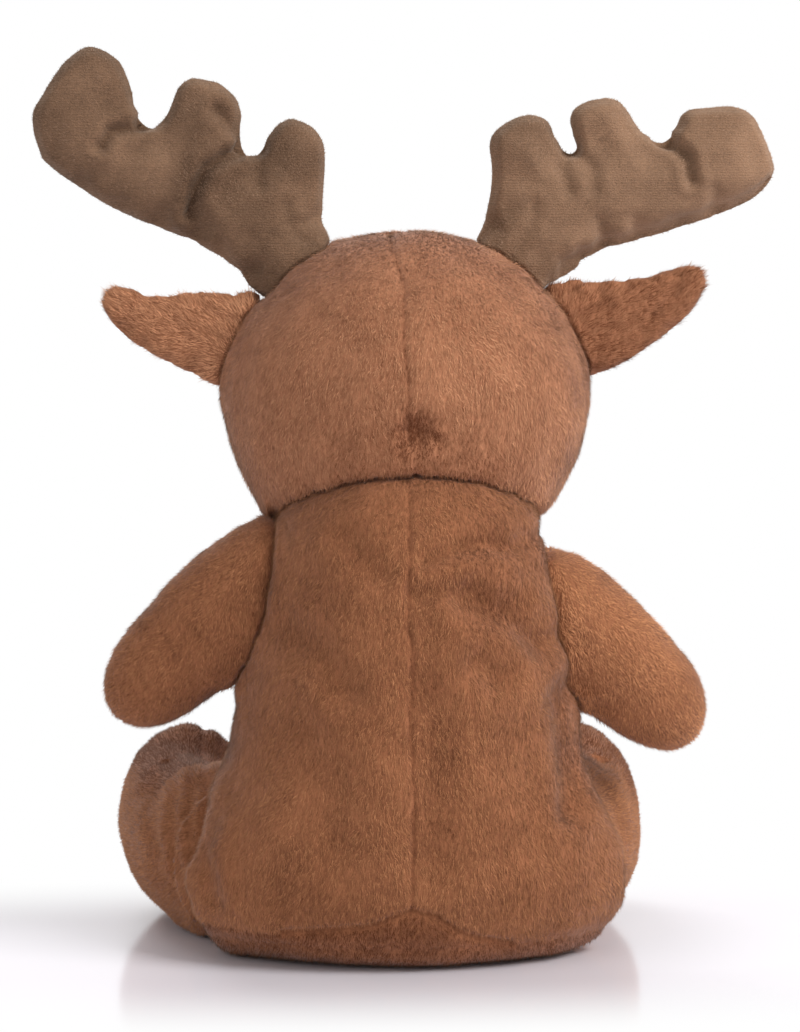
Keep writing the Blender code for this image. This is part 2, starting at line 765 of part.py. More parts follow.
def ellipsoid(name, to_world, half_sizes):
    """A ball stretched to three half sizes, in the frame of a matrix."""

    def build(bm):
        bmesh.ops.create_uvsphere(
            bm,
            u_segments=ROUND_SEGMENTS,
            v_segments=ROUND_SEGMENTS // 2,
            radius=1,
            matrix=to_world @ Matrix.Diagonal((*half_sizes, 1)),
        )

    return mesh_of(name, build)


def button(name, at, way, half_sizes, finish, empty):
    """A plastic eye or nose on a shank, and its lock washer behind the cover."""
    dome = piece(name, ellipsoid(name + "_dome", frame_along(way, at), half_sizes), finish, empty)
    keep(dome, half_space(name + "_face_side", at + way * FIT_GAP, way))
    tail = at - way * (COVER + SHANK_TAIL)
    root = at + way * OVERRUN
    boolean(dome, rod(name + "_shank", tail, root, SHANK_RADIUS), "UNION")
    disc_top = at - way * (COVER + WASHER_SLACK)
    disc = rod_mesh(name + "_disc", disc_top - way * WASHER_THICKNESS, disc_top, WASHER_RADIUS)
    washer = piece(name + "_washer", disc, WASHER_PLASTIC, empty)
    hole = rod(name + "_hole", tail - way * OVERRUN, root, SHANK_RADIUS + FIT_GAP)
    cut(washer, hole)
    room = rod(name + "_washer_room", tail - way * FIT_GAP, root, WASHER_RADIUS + FIT_GAP)
    return hole, room


def make_head():
    """The back and face covers, the muzzle, the fillings, the eyes, the nose and the mouth."""
    empty = joint_empty("neck_pivot", NECK_CENTRE)
    form = head_form("head_form")
    neck = ball("neck_room", NECK_CENTRE, NECK_RADIUS + NECK_PLAY)
    behind = half_space("behind_crown_seam", CROWN_SEAM + BACK * SEAM_GAP / 2, BACK)
    before = half_space("before_crown_seam", CROWN_SEAM - BACK * SEAM_GAP / 2, -BACK)
    grooves = []
    for side in (LEFT, RIGHT):
        seats = (("antler", antler_seat(side), ANTLER_ROUND), ("ear", ear_seat(side), EAR_ROUND))
        for kind, seat, radius in seats:
            reach = seat.axis * (seat.half_base + GROOVE_PLAY)
            name = f"{kind}_groove_{SIDE_NAMES[side]}"
            grooves.append(rod(name, seat.pivot - reach, seat.pivot + reach, radius + GROOVE_PLAY))

    skin = cutter("head_outside", form.copy())
    soften(skin)
    eye_sizes = (EYE_RADIUS, EYE_RADIUS, EYE_RADIUS * eye_bulge_share)
    eye_holes = {}
    rooms = []
    for side in (LEFT, RIGHT):
        at, way = skin_point(skin, HEAD_CENTRE + place(side * EYE_SPREAD, z=EYE_RISE), -BACK)
        name = f"eye_{SIDE_NAMES[side]}"
        eye_holes[side], room = button(name, at, way, eye_sizes, BLACK_PLASTIC, empty)
        rooms.append(room)

    covers = {
        "head_back_left": (SEAM_SIDES[LEFT], behind, ()),
        "head_back_right": (SEAM_SIDES[RIGHT], behind, ()),
        "face_left": (SEAM_SIDES[LEFT], before, (eye_holes[LEFT],)),
        "face_right": (SEAM_SIDES[RIGHT], before, (eye_holes[RIGHT],)),
    }
    for name, (side_region, seam_region, holes) in covers.items():
        cover = piece(name, form.copy(), HEAD_PLUSH, empty)
        soften(cover)
        hollow(cover, COVER)
        keep(cover, side_region, seam_region)
        cut(cover, neck, *grooves, *holes)
    filling = piece("head_stuffing", form.copy(), FILLING, empty)
    soften(filling)
    draw_in(filling, COVER + FIT_GAP)
    cut(filling, neck, *grooves, *rooms)
    make_muzzle(empty)


def make_muzzle(empty):
    """The muzzle's cover and filling, the nose and the mouth."""
    head_room = cutter("head_room", head_form("head_room_form", FIT_GAP))
    soften(head_room)
    sizes = (MUZZLE_HALF_WIDTH, MUZZLE_HALF_LENGTH, MUZZLE_HALF_HEIGHT)
    form = ellipsoid("muzzle_form", Matrix.Translation(MUZZLE_CENTRE), sizes)
    skin = cutter("muzzle_outside", form.copy())
    at, way = skin_point(skin, MUZZLE_CENTRE, muzzle_way(0.0, NOSE_LIFT))
    nose_height = NOSE_HALF_WIDTH * nose_height_share
    nose_sizes = (NOSE_HALF_WIDTH, nose_height, nose_height)
    hole, room = button("nose", at, way, nose_sizes, BLACK_PLASTIC, empty)
    cover = piece("muzzle", form.copy(), MUZZLE_PLUSH, empty)
    hollow(cover, COVER)
    cut(cover, head_room, hole)
    filling = piece("muzzle_stuffing", form.copy(), FILLING, empty)
    draw_in(filling, COVER + FIT_GAP)
    cut(filling, head_room, room)
    make_mouth(skin, empty)


def muzzle_way(turn, rise):
    """The direction to a point of the muzzle's front, by its turn from the middle and its rise."""
    return place(sin(turn) * cos(rise), -cos(turn) * cos(rise), sin(rise))


def make_mouth(skin, empty):
    """One line of thread that smiles across the muzzle under the nose."""
    curve = bpy.data.curves.new("mouth_line", "CURVE")
    curve.dimensions = "3D"
    curve.bevel_depth = THREAD_RADIUS
    curve.bevel_resolution = 1
    curve.use_fill_caps = True
    curve.render_resolution_u = 0
    line = curve.splines.new("POLY")
    line.points.add(MOUTH_POINTS - 1)
    for i in range(MOUTH_POINTS):
        share = 2 * i / (MOUTH_POINTS - 1) - 1
        aim = muzzle_way(MOUTH_HALF_TURN * share, MOUTH_LIFT + MOUTH_SMILE * share**2)
        at, way = skin_point(skin, MUZZLE_CENTRE, aim)
        line.points[i].co = (*(at + way * (THREAD_RADIUS + FIT_GAP)), 1)
    mouth = bpy.data.objects.new("mouth_stitch", curve)
    DEER.objects.link(mouth)
    curve.materials.append(DARK_THREAD)
    carry(mouth, empty)


make_torso()
make_head()
for each_side in (LEFT, RIGHT):
    make_arm(each_side)
    make_leg(each_side)
    make_ear(each_side)
    make_antler(each_side)
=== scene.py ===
# %% [markdown]
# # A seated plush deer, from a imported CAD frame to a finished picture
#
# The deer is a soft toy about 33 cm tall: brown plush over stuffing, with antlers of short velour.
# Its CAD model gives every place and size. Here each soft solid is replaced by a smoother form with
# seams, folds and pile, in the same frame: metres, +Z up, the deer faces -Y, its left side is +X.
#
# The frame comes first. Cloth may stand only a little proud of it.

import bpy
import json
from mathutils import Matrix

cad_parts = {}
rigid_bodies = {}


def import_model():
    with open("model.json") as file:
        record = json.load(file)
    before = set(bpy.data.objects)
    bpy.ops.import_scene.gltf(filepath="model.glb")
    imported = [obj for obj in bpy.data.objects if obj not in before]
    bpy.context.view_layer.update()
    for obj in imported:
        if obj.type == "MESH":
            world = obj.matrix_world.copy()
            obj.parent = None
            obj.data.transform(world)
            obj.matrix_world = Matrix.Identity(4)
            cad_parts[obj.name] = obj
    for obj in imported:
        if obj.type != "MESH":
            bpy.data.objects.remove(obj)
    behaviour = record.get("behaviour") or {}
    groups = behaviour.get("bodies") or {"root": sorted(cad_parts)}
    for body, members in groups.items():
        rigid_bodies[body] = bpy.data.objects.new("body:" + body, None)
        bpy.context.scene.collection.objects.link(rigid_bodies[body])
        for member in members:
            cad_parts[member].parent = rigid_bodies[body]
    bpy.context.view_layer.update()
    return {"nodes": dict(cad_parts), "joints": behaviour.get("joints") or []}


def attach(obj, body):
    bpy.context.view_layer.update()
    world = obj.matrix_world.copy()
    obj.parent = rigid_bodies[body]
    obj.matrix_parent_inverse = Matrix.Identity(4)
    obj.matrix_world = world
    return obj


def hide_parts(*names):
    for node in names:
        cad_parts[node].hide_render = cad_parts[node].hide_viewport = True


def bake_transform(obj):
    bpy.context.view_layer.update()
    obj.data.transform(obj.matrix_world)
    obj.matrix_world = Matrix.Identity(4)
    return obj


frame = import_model()

# %% Tools used all through
import json
from math import cos, degrees, pi, radians, sin

import bmesh
import bpy
import numpy as np
from mathutils import Matrix, Vector, noise
from mathutils.bvhtree import BVHTree

LEFT, RIGHT = 1, -1
WORD = {LEFT: "left", RIGHT: "right"}
MM = 0.001
scene = bpy.context.scene
print("Blender", bpy.app.version_string)

# %% [markdown]
# ## The camera
#
# The toy is seen from behind, a little to one side and a little above. The focal length and the
# distance were found by laying the outlines of the solids over the picture. Blender could aim the
# camera with a Track To constraint, but here its three directions are worked out, because the same
# directions turn a point of the picture into a place on the toy later on.

# %% Place the camera
PICTURE = (800, 1032)
AZIMUTH = radians(176)
ELEVATION = radians(5)
DISTANCE = 1.4
FOCAL = 3843
TARGET = Vector((0, 0, 0.164))
TARGET_AT = (409, 503)

ahead = Vector((-sin(AZIMUTH) * cos(ELEVATION), cos(AZIMUTH) * cos(ELEVATION), -sin(ELEVATION)))
right = Vector((cos(AZIMUTH), sin(AZIMUTH), 0))
above = right.cross(ahead)
off_right = (TARGET_AT[0] - PICTURE[0] / 2) / FOCAL * DISTANCE
off_up = (PICTURE[1] / 2 - TARGET_AT[1]) / FOCAL * DISTANCE
eye = TARGET - ahead * DISTANCE - right * off_right - above * off_up

camera = bpy.data.objects.new("camera", bpy.data.cameras.new("camera"))
camera.data.sensor_fit = "VERTICAL"
camera.data.sensor_height = 36
camera.data.lens = 36 * FOCAL / PICTURE[1]
turned = Matrix((right, above, -ahead)).transposed().to_4x4()
camera.matrix_world = Matrix.Translation(eye) @ turned
scene.collection.objects.link(camera)
scene.camera = camera
print("camera at", [round(x, 3) for x in eye], "lens", round(camera.data.lens, 1))

# %% From a point of the picture to a place on the toy
def on_plane(px, py, y):
    """The place (x, z) where the sight line through a point of the picture meets a plane of y."""
    line = ahead + right * (px - PICTURE[0] / 2) / FOCAL - above * (py - PICTURE[1] / 2) / FOCAL
    at = eye + line * (y - eye.y) / line.y
    return at.x, at.z


print("the middle of the picture crosses y = 0 at", [round(v, 3) for v in on_plane(400, 516, y=0)])

# %% [markdown]
# ## Soft forms
#
# A stuffed form has no flat and no straight line: the filling presses its panels out, and the
# thread holds them in at the seams. It could be sculpted, but the CAD panels already hold every
# size, so each form starts as a copy of its panels. Remesh melts them into one even skin, Smooth
# takes off the facets, and Cloth with pressure swells it while the seams stay pinned. The skin is
# then drawn back under the CAD surface by the height of the pile.

# %% Read and write many points at once
def new_object(name, mesh):
    made = bpy.data.objects.new(name, mesh)
    scene.collection.objects.link(made)
    return made


def read(rows, key, width=3, kind=np.float32):
    """One property of all the vertices, edges or triangles, as rows of numbers."""
    flat = np.empty(len(rows) * width, kind)
    rows.foreach_get(key, flat)
    return flat.reshape(-1, width)


def points_of(obj):
    return read(obj.data.vertices, "co").astype(float)


def normals_of(obj):
    return read(obj.data.vertex_normals, "vector").astype(float)


def triangles_of(obj):
    obj.data.calc_loop_triangles()
    return read(obj.data.loop_triangles, "vertices", kind=np.int32)


def set_points(obj, points):
    obj.data.vertices.foreach_set("co", points.astype(np.float32).ravel())
    obj.data.update()


def applied(obj):
    """Make an object's modifiers part of its mesh."""
    graph = bpy.context.evaluated_depsgraph_get()
    mesh = bpy.data.meshes.new_from_object(obj.evaluated_get(graph))
    obj.modifiers.clear()
    obj.data = mesh
    mesh.name = obj.name


print("point helpers ready")

# %% Distances to panels
def tree_of(meshes):
    """A search tree over the triangles of some meshes."""
    joined = bmesh.new()
    for mesh in meshes:
        joined.from_mesh(mesh)
    tree = BVHTree.FromBMesh(joined)
    joined.free()
    return tree


def node_meshes(nodes):
    return [frame["nodes"][node].data for node in nodes]


def distance_to(tree, points):
    return np.array([tree.find_nearest(p)[3] for p in points.tolist()])


INSIDE = ("stuffing", "pellet_bag", "washer", "stitch", "eye", "nose")
ALL_COVERS = [node for node in frame["nodes"] if not any(word in node for word in INSIDE)]
print(len(ALL_COVERS), "sewn panels")

# %% Copy the panels and melt them into one skin
def skin_of(name, nodes, voxel):
    """One even closed skin round the copied panels, without the loose skins of what is inside."""
    joined = bmesh.new()
    for mesh in node_meshes(nodes):
        joined.from_mesh(mesh)
    mesh = bpy.data.meshes.new(name)
    joined.to_mesh(mesh)
    joined.free()
    made = new_object(name, mesh)
    melt = made.modifiers.new("melt", "REMESH")
    melt.mode = "VOXEL"
    melt.voxel_size = voxel
    applied(made)
    loose = bmesh.new()
    loose.from_mesh(made.data)
    start = max(loose.verts, key=lambda v: v.co.z)
    found, row = {start}, [start]
    while row:
        row = [e.other_vert(v) for v in row for e in v.link_edges if e.other_vert(v) not in found]
        row = list(dict.fromkeys(row))
        found.update(row)
    bmesh.ops.delete(loose, geom=[v for v in loose.verts if v not in found], context="VERTS")
    loose.to_mesh(made.data)
    loose.free()
    return made


print("panels have up to", max(len(mesh.polygons) for mesh in node_meshes(ALL_COVERS)), "faces")

# %% Even values out over a skin
def evened(obj, values, times):
    """Values at the points, each averaged with its neighbours a number of times."""
    edges = read(obj.data.edges, "vertices", 2, np.int32)
    a, b = edges.T
    count = np.bincount(edges.ravel(), minlength=len(values))
    for _ in range(times):
        total = np.bincount(a, values[b], len(values)) + np.bincount(b, values[a], len(values))
        values = (values + total / count) / 2
    return values


print("values are evened along the edges")

# %% Swell a skin as cloth
FILLING_PRESSURE = 4


def swell(obj, pinned, most, frames=12):
    """Cloth under pressure, with the seams pinned. No point moves further than most."""
    before = points_of(obj)
    group = obj.vertex_groups.new(name="seams")
    group.add(np.nonzero(pinned)[0].tolist(), 1.0, "REPLACE")
    cloth = obj.modifiers.new("filling", "CLOTH")
    cloth.settings.use_pressure = True
    cloth.settings.uniform_pressure_force = FILLING_PRESSURE
    cloth.settings.effector_weights.gravity = 0
    cloth.settings.vertex_group_mass = "seams"
    cloth.point_cache.frame_end = frames
    for step in range(1, frames + 1):
        scene.frame_set(step)
    graph = bpy.context.evaluated_depsgraph_get()
    move = read(obj.evaluated_get(graph).data.vertices, "co") - before
    obj.modifiers.clear()
    obj.vertex_groups.clear()
    scene.frame_set(1)
    long = np.maximum(np.linalg.norm(move, axis=1), 1e-9)
    set_points(obj, before + move * np.minimum(1, most / long)[:, None])


print("the filling presses with", FILLING_PRESSURE)

# %% Smooth a skin where it is free
def smoothed(obj, beside, times):
    """Less smoothing beside a neighbour, so that the forms still meet there."""
    share = np.clip((distance_to(beside, points_of(obj)) - 1.5 * MM) / (6 * MM), 0.2, 1)
    group = obj.vertex_groups.new(name="free")
    for level in range(1, 11):
        group.add(np.nonzero(np.round(share * 10) == level)[0].tolist(), level / 10, "REPLACE")
    step = obj.modifiers.new("smooth", "SMOOTH")
    step.iterations = times
    step.vertex_group = "free"
    applied(obj)
    obj.vertex_groups.clear()


def height_over(tree, points):
    """How far each point stands outside a skin, or below it as a negative."""
    heights = []
    for p in points.tolist():
        at, way, _, far = tree.find_nearest(p)
        heights.append(far if (Vector(p) - at).dot(way) > 0 else -far)
    return np.array(heights)


print("smoothing is weakest within 1.5 mm of a neighbour")

# %% Stuff a form
facts = {}


def stuffed(name, nodes, voxel, smooth, even, inset=0.9, levels=2, most=2.5, by_cloth=True):
    """
    A soft form round the nodes' panels, and what is known at each of its points.

    The voxel's size, the inset that leaves room for the pile, and the most that cloth may move
    are in mm; smooth and even are numbers of rounds.
    """
    made = skin_of(name, nodes, voxel * MM)
    raw = tree_of([made.data])
    panels = [node for node in nodes if node in ALL_COVERS]
    trees = [tree_of(node_meshes([node])) for node in panels]
    beside = tree_of(node_meshes([node for node in ALL_COVERS if node not in nodes]))
    smoothed(made, beside, smooth)
    points = points_of(made)
    seam = np.sort([distance_to(tree, points) for tree in trees], axis=0)[min(1, len(trees) - 1)]
    if by_cloth:
        swell(made, seam < voxel * 0.6 * MM, most * MM)
    points, normals = points_of(made), normals_of(made)
    share = np.clip((distance_to(beside, points) - 1.0 * MM) / (4 * MM), 0, 1)
    draw = evened(made, height_over(raw, points), even) + inset * MM * (0.12 + 0.88 * share)
    set_points(made, points - normals * draw[:, None])
    step = made.modifiers.new("round", "SUBSURF")
    step.levels = levels
    applied(made)
    made.data.shade_smooth()
    points = points_of(made)
    rows = np.array([distance_to(tree, points) for tree in trees])
    nearest = np.sort(rows, axis=0)
    facts[name] = {
        "seam": nearest[1] - nearest[0] if len(trees) > 1 else np.full(len(points), 9 * MM),
        "near": distance_to(beside, points),
        "panel": np.argmin(rows, axis=0).astype(float),
        "pressed": np.zeros(len(points)),
    }
    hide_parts(*nodes)
    size = points.max(axis=0) - points.min(axis=0)
    print(name, len(points), "points,", [round(s * 1000) for s in size], "mm")
    return made


# %% [markdown]
# ## Pressing seams and folds
#
# A seam is a groove that the thread pulls in, a fold is a groove with a swell beside it, and a
# pucker is a dimple with rays. Each is a line or a spot read from the picture, laid on the toy, and
# its depth falls off with the distance. Gentle lumps of noise keep the rest from looking moulded.

# %% Distances, lumps and lines of the picture
def distance_to_line(points, line):
    """How far each point is from a line through two or more places, in as many dimensions."""
    line = np.array(line, float)
    best = np.full(len(points), 9.0)
    for a, b in zip(line, line[1:]):
        along = b - a
        share = np.clip((points - a) @ along / max(along @ along, 1e-12), 0, 1)
        best = np.minimum(best, np.linalg.norm(points - a - share[:, None] * along, axis=1))
    return best


def fall(distance, width):
    return np.exp(-((distance / width) ** 2))


def lumps(points, size, seed):
    """Smooth noise from -1 to 1 at each point, with features of about this size."""
    scaled = points / size + seed
    return np.array([noise.noise(p) for p in scaled.tolist()])


def dents(points, known, start, over, *waves):
    """Soft dents, in mm, from this far off a neighbour. A wave is a depth, a size and a seed."""
    free = np.clip((known["near"] - start * MM) / (over * MM), 0, 1)
    return free * sum(deep * lumps(points, size * MM, seed) for deep, size, seed in waves)


def picture_line(corners, y):
    """A line on the toy's back, as (x, z), from points of the picture and the depth it lies at."""
    return [on_plane(px, py, y) for px, py in corners]


print("one width away from its line a groove is", round(float(fall(1, 1)), 2), "as deep")

# %% Press a form and let it settle
def meeting(points, known, most, low):
    """A swell, in mm, that closes the valley beside a neighbour, deeper near the floor by low."""
    near = known["near"] / MM
    lowness = np.clip((75 * MM - points[:, 2]) / (35 * MM), 0, 1) * (points[:, 1] > -10 * MM)
    deep = most + low * lowness
    risen = (0.5 + 0.15 * lowness) * np.maximum(near - 0.8, 0)
    return np.minimum(deep, risen) * fall(near, 14 + 10 * lowness)


# What is lower than this rests on the floor and keeps its height
RESTING = 3 * MM


def press(obj, depth_of):
    """Move each point along its normal by a depth in mm, worked out from the points."""
    points, normals = points_of(obj), normals_of(obj)
    depth = depth_of(points, facts[obj.name])
    facts[obj.name]["pressed"] += np.maximum(-depth, 0)
    moved = points + normals * (depth * MM)[:, None]
    moved[:, 2] = np.where(points[:, 2] < RESTING, points[:, 2], moved[:, 2])
    set_points(obj, moved)


def settle(obj, tall):
    """Let the foot of a form sag on the floor: what lies below this many mm is pressed lower."""
    points = points_of(obj)
    low = points[:, 2] < tall * MM
    share = np.clip(points[:, 2] / (tall * MM), 0, 1)
    points[:, 2] = np.where(low, tall * MM * share**1.7, points[:, 2])
    set_points(obj, points)


print("what lies lower than", round(RESTING / MM), "mm is only settled, not pressed")

# %% [markdown]
# ## The body
#
# The body is a pear of plush: two back panels, a belly panel and an oval seat that holds it
# upright on its pellets. The centre seam of the back is drawn in tight, the cloth gathers in
# slanting folds beside it, and above the seat the seam arches up to where it was closed by hand.

# %% Shape the body and draw the lines of its back
BODY_NODES = ["body_back_left", "body_back_right", "belly", "seat", "body_stuffing", "pellet_bag"]
body = stuffed("body_form", BODY_NODES, voxel=3.6, smooth=18, even=32)

BACK_SEAM = picture_line(
    [(413, 470), (412, 511), (409, 618), (414, 664), (410, 715), (414, 792), (412, 912)], y=0.055
)
SEAT_CORNERS = [
    (284, 938), (368, 927), (398, 915), (412, 910), (437, 915), (444, 922), (470, 938), (513, 948),
]
SEAT_SEAM = picture_line(SEAT_CORNERS, y=0.052)
# Each fold has a depth and a width in mm, the plane of y it lies on and its line in the picture
BACK_FOLDS = [
    (picture_line(line, y), deep, wide) for deep, wide, y, line in [
        (0.9, 3.4, 0.056, [(430, 562), (452, 552), (486, 546), (512, 552), (535, 549)]),
        (0.9, 4.0, 0.056, [(420, 596), (470, 590), (520, 604)]),
        (1.5, 5.0, 0.056, [(470, 606), (520, 625), (548, 650)]),
        (1.3, 5.5, 0.058, [(478, 668), (500, 682)]),
        (0.8, 6.0, 0.056, [(290, 640), (322, 655), (345, 690)]),
        (0.9, 8.0, 0.058, [(428, 690), (440, 760), (436, 860)]),
        (0.7, 5.0, 0.055, [(350, 545), (378, 575)]),
        (1.6, 5.0, 0.030, [(560, 700), (572, 775), (569, 808)]),
        (0.6, 9.0, 0.056, [(300, 742), (330, 800), (332, 850)]),
        (1.0, 2.2, 0.0, [(211, 776), (206, 798), (199, 812)]),
        (0.7, 3.0, 0.0, [(214, 806), (207, 842), (216, 884)]),
    ]
]
print(len(BACK_FOLDS), "folds drawn on the back")

# %% Press the body
SHOULDER_HEIGHT = 0.153


def body_depth(points, known):
    flat, back = points[:, ::2], points[:, 1] > 0.0
    seam = distance_to_line(flat, BACK_SEAM)
    ripple = lumps(points, 6 * MM, 2.0)
    depth = -(0.7 + 0.6 * ripple) * fall(seam, 1.0 * MM) - 0.8 * fall(seam, 8 * MM)
    for line, deep, wide in BACK_FOLDS:
        far = distance_to_line(flat, line) + 0.8 * MM * ripple
        depth -= 1.7 * deep * fall(far, wide * MM)
        depth += 0.8 * deep * fall(far - 1.9 * wide * MM, wide * MM)
    depth -= 1.5 * fall(distance_to_line(flat, SEAT_SEAM), 1.4 * MM)
    depth = np.where(back, depth, 0)
    sewn = np.where(back & ((seam < 14 * MM) | (points[:, 2] < 30 * MM)), 0, 1)
    sewn = sewn * (points[:, 2] > 9 * MM)
    depth -= sewn * (0.9 + 0.5 * ripple) * fall(known["seam"], 1.8 * MM)
    depth += meeting(points, known, 2.6, 4.5)
    left_shoulder = np.clip((points[:, 0] - 0.022) / 0.018, 0, 1)
    depth += 1.6 * fall(points[:, 2] - SHOULDER_HEIGHT, 12 * MM) * left_shoulder
    return depth + dents(points, known, 3, 8, (1.1, 34, 5.0), (0.5, 13, 9.0))


def follow(obj, *lines):
    """Take the seams of a back for where the picture has them."""
    points, known = points_of(obj), facts[obj.name]
    drawn = np.min([distance_to_line(points[:, ::2], line) for line in lines], axis=0)
    known["seam"] = np.where((points[:, 1] > -0.01) & (drawn < 14 * MM), drawn, known["seam"])


press(body, body_depth)
follow(body, BACK_SEAM, SEAT_SEAM)
settle(body, 9)
print("deepest press on the body:", round(facts["body_form"]["pressed"].max(), 1), "mm")

# %% [markdown]
# ## The head
#
# The head is a flattened ball of four panels. Its centre seam runs over the crown and down the
# back to a tight pucker, where the filling went in and the thread was pulled through. The crown
# seam, where ears and antlers are caught, crosses it.

# %% Shape the head
HEAD_NODES = ["head_back_left", "head_back_right", "face_left", "face_right", "head_stuffing"]
head = stuffed("head_form", HEAD_NODES, voxel=2.2, smooth=40, even=70, levels=1)

HEAD_SEAM = picture_line(
    [(399, 228), (399, 248), (406, 287), (404, 343), (408, 379), (407, 430), (417, 475)], y=0.035
)
NAPE = picture_line([(300, 512), (366, 488), (417, 486), (470, 498), (530, 520)], y=0.03)
PUCKER = on_plane(417, 432, y=0.036)


def head_depth(points, known):
    flat, back = points[:, ::2], points[:, 1] > -0.015
    seam = distance_to_line(flat, HEAD_SEAM)
    ripple = lumps(points, 6 * MM, 12.0)
    away = flat - PUCKER
    far = np.linalg.norm(away, axis=1)
    rays = np.cos(7 * np.arctan2(away[:, 1], away[:, 0]) + 3 * ripple)
    depth = -(0.8 + 0.5 * ripple) * fall(seam, 1.0 * MM) - 0.4 * fall(seam, 7 * MM)
    depth -= 3.4 * fall(far, 5.5 * MM) + 0.4 * rays * fall(far - 7 * MM, 5 * MM)
    depth -= 1.2 * fall(distance_to_line(flat, NAPE), 4.0 * MM)
    depth = np.where(back, depth, 0)
    sewn = np.where(back & (seam < 12 * MM), 0, 1)
    depth -= sewn * (0.5 + 0.4 * ripple) * fall(known["seam"], 1.5 * MM)
    depth += meeting(points, known, 2.2, 0)
    return depth + dents(points, known, 3, 8, (0.8, 30, 3.0), (0.4, 12, 8.0))


press(head, head_depth)
follow(head, HEAD_SEAM)
print("pucker at", [round(v, 3) for v in PUCKER])

# %% [markdown]
# ## The muzzle
#
# A short pale muzzle is stuffed on its own and sewn on all round, as such toys have it. It hides
# from this camera, so its form follows common patterns.

# %% Shape the muzzle
MUZZLE_NODES = ["muzzle", "muzzle_stuffing"]
muzzle = stuffed("muzzle_form", MUZZLE_NODES, voxel=3, smooth=6, even=12, most=1.5)
press(muzzle, lambda points, known: 0.4 * lumps(points, 12 * MM, 4.0))

# %% [markdown]
# ## Arms and legs
#
# Each arm is two panels and lies over the side of the body; each leg has an outer and an inner
# panel and a round sole. The cloth puckers where a limb is gathered into its seam, which shows
# best on the thighs: a fan of small folds that spreads from the hip.

# %% Shape the limbs
def limb_depth(points, known):
    ripple = lumps(points, 5 * MM, 6.0)
    depth = -(0.9 + 0.5 * ripple) * fall(known["seam"], 1.7 * MM)
    gather = fall(known["near"] - 5 * MM, 7 * MM)
    around = np.arctan2(points[:, 2] - known["middle"][2], points[:, 1] - known["middle"][1])
    depth += 0.3 * gather * np.cos(11 * around + 4 * lumps(points, 20 * MM, 4.0))
    depth += meeting(points, known, 2.6, 4.5)
    return depth + dents(points, known, 2, 6, (0.8, 22, 1.0), (0.35, 9, 2.0))


def shoulder_depth(points, known):
    """A shoulder is full at its top, where it meets the neck."""
    top = points[:, 2].max()
    return 1.6 * fall(points[:, 2] - top, 9 * MM) * fall(known["near"], 9 * MM)


arms, legs = {}, {}
for side in (LEFT, RIGHT):
    word = WORD[side]
    nodes = [f"arm_back_{word}", f"arm_front_{word}", f"arm_stuffing_{word}"]
    arms[side] = stuffed(f"arm_form_{word}", nodes, voxel=2.4, smooth=15, even=30, levels=1)
    nodes = [f"leg_outer_{word}", f"leg_inner_{word}", f"foot_sole_{word}", f"leg_stuffing_{word}"]
    legs[side] = stuffed(f"leg_form_{word}", nodes, voxel=2.6, smooth=18, even=36, levels=1)
    for limb in (arms[side], legs[side]):
        facts[limb.name]["middle"] = points_of(limb).mean(axis=0)
        press(limb, limb_depth)
    press(arms[side], shoulder_depth)

# %% Fold the thighs
THIGH_FOLDS = {
    LEFT: [
        (3.0, 3.5, [(216, 754), (190, 763), (166, 778)]),
        (1.0, 1.8, [(150, 812), (147, 832), (151, 852)]),
        (1.0, 2.0, [(167, 792), (158, 812), (155, 835), (160, 862)]),
        (0.9, 2.0, [(180, 790), (174, 815), (173, 845), (180, 874)]),
        (0.9, 2.2, [(196, 786), (190, 812), (190, 845), (200, 880)]),
    ],
    RIGHT: [
        (3.0, 3.5, [(578, 748), (600, 760), (624, 778)]),
        (0.7, 2.5, [(606, 790), (622, 815), (628, 845)]),
    ],
}


def thigh_depth(folds):
    """The hollow above a thigh and its folds, each a depth, a width and a line in the picture."""
    def depth(points, known):
        total = np.zeros(len(points))
        for deep, wide, corners in folds:
            far = distance_to_line(points[:, ::2], picture_line(corners, y=0.0))
            beside = 0.3 * deep * fall(far - 2 * wide * MM, wide * MM)
            total -= deep * fall(far, wide * MM) - beside
        return total * (points[:, 1] > -0.06)
    return depth


for side, leg in legs.items():
    press(leg, thigh_depth(THIGH_FOLDS[side]))
    settle(leg, 7)
    print("thigh folds:", len(THIGH_FOLDS[side]))

# %% [markdown]
# ## Ears and antlers
#
# The ears are two layers with a little filling, pale inside and folded at the base. The antlers
# are broad and flat, with three round tines each, sewn along the edge from a short velour. Their
# notches are too narrow for filling, so a crease runs from each notch down into the blade.

# %% Draw the creases of ears and antlers
ANTLER_CREASES = {
    LEFT: [
        (1.4, [(148, 122), (139, 126), (112, 132), (101, 146)]),
        (1.5, [(244, 150), (226, 156), (206, 168), (195, 189), (190, 214)]),
        (0.9, [(216, 110), (230, 124), (242, 143)]),
        (0.5, [(262, 150), (256, 168), (258, 186)]),
        (0.5, [(300, 240), (288, 222), (285, 205)]),
    ],
    RIGHT: [
        (1.3, [(660, 140), (672, 146), (684, 158), (688, 180)]),
        (0.5, [(566, 152), (560, 168), (566, 190)]),
        (0.4, [(575, 151), (590, 168), (592, 190)]),
        (0.4, [(512, 250), (528, 228), (532, 205)]),
        (0.7, [(562, 262), (604, 243), (642, 234), (681, 221), (719, 209), (750, 196), (768, 182)]),
    ],
}
EAR_CREASES = {
    LEFT: [
        (0.6, [(262, 318), (235, 322), (205, 312)]),
        (0.6, [(150, 300), (172, 316), (190, 340)]),
    ],
    RIGHT: [
        (0.5, [(542, 312), (572, 318), (606, 306)]),
        (0.7, [(680, 276), (668, 300), (650, 318)]),
    ],
}
print("creases:", {WORD[side]: len(EAR_CREASES[side] + ANTLER_CREASES[side]) for side in WORD})

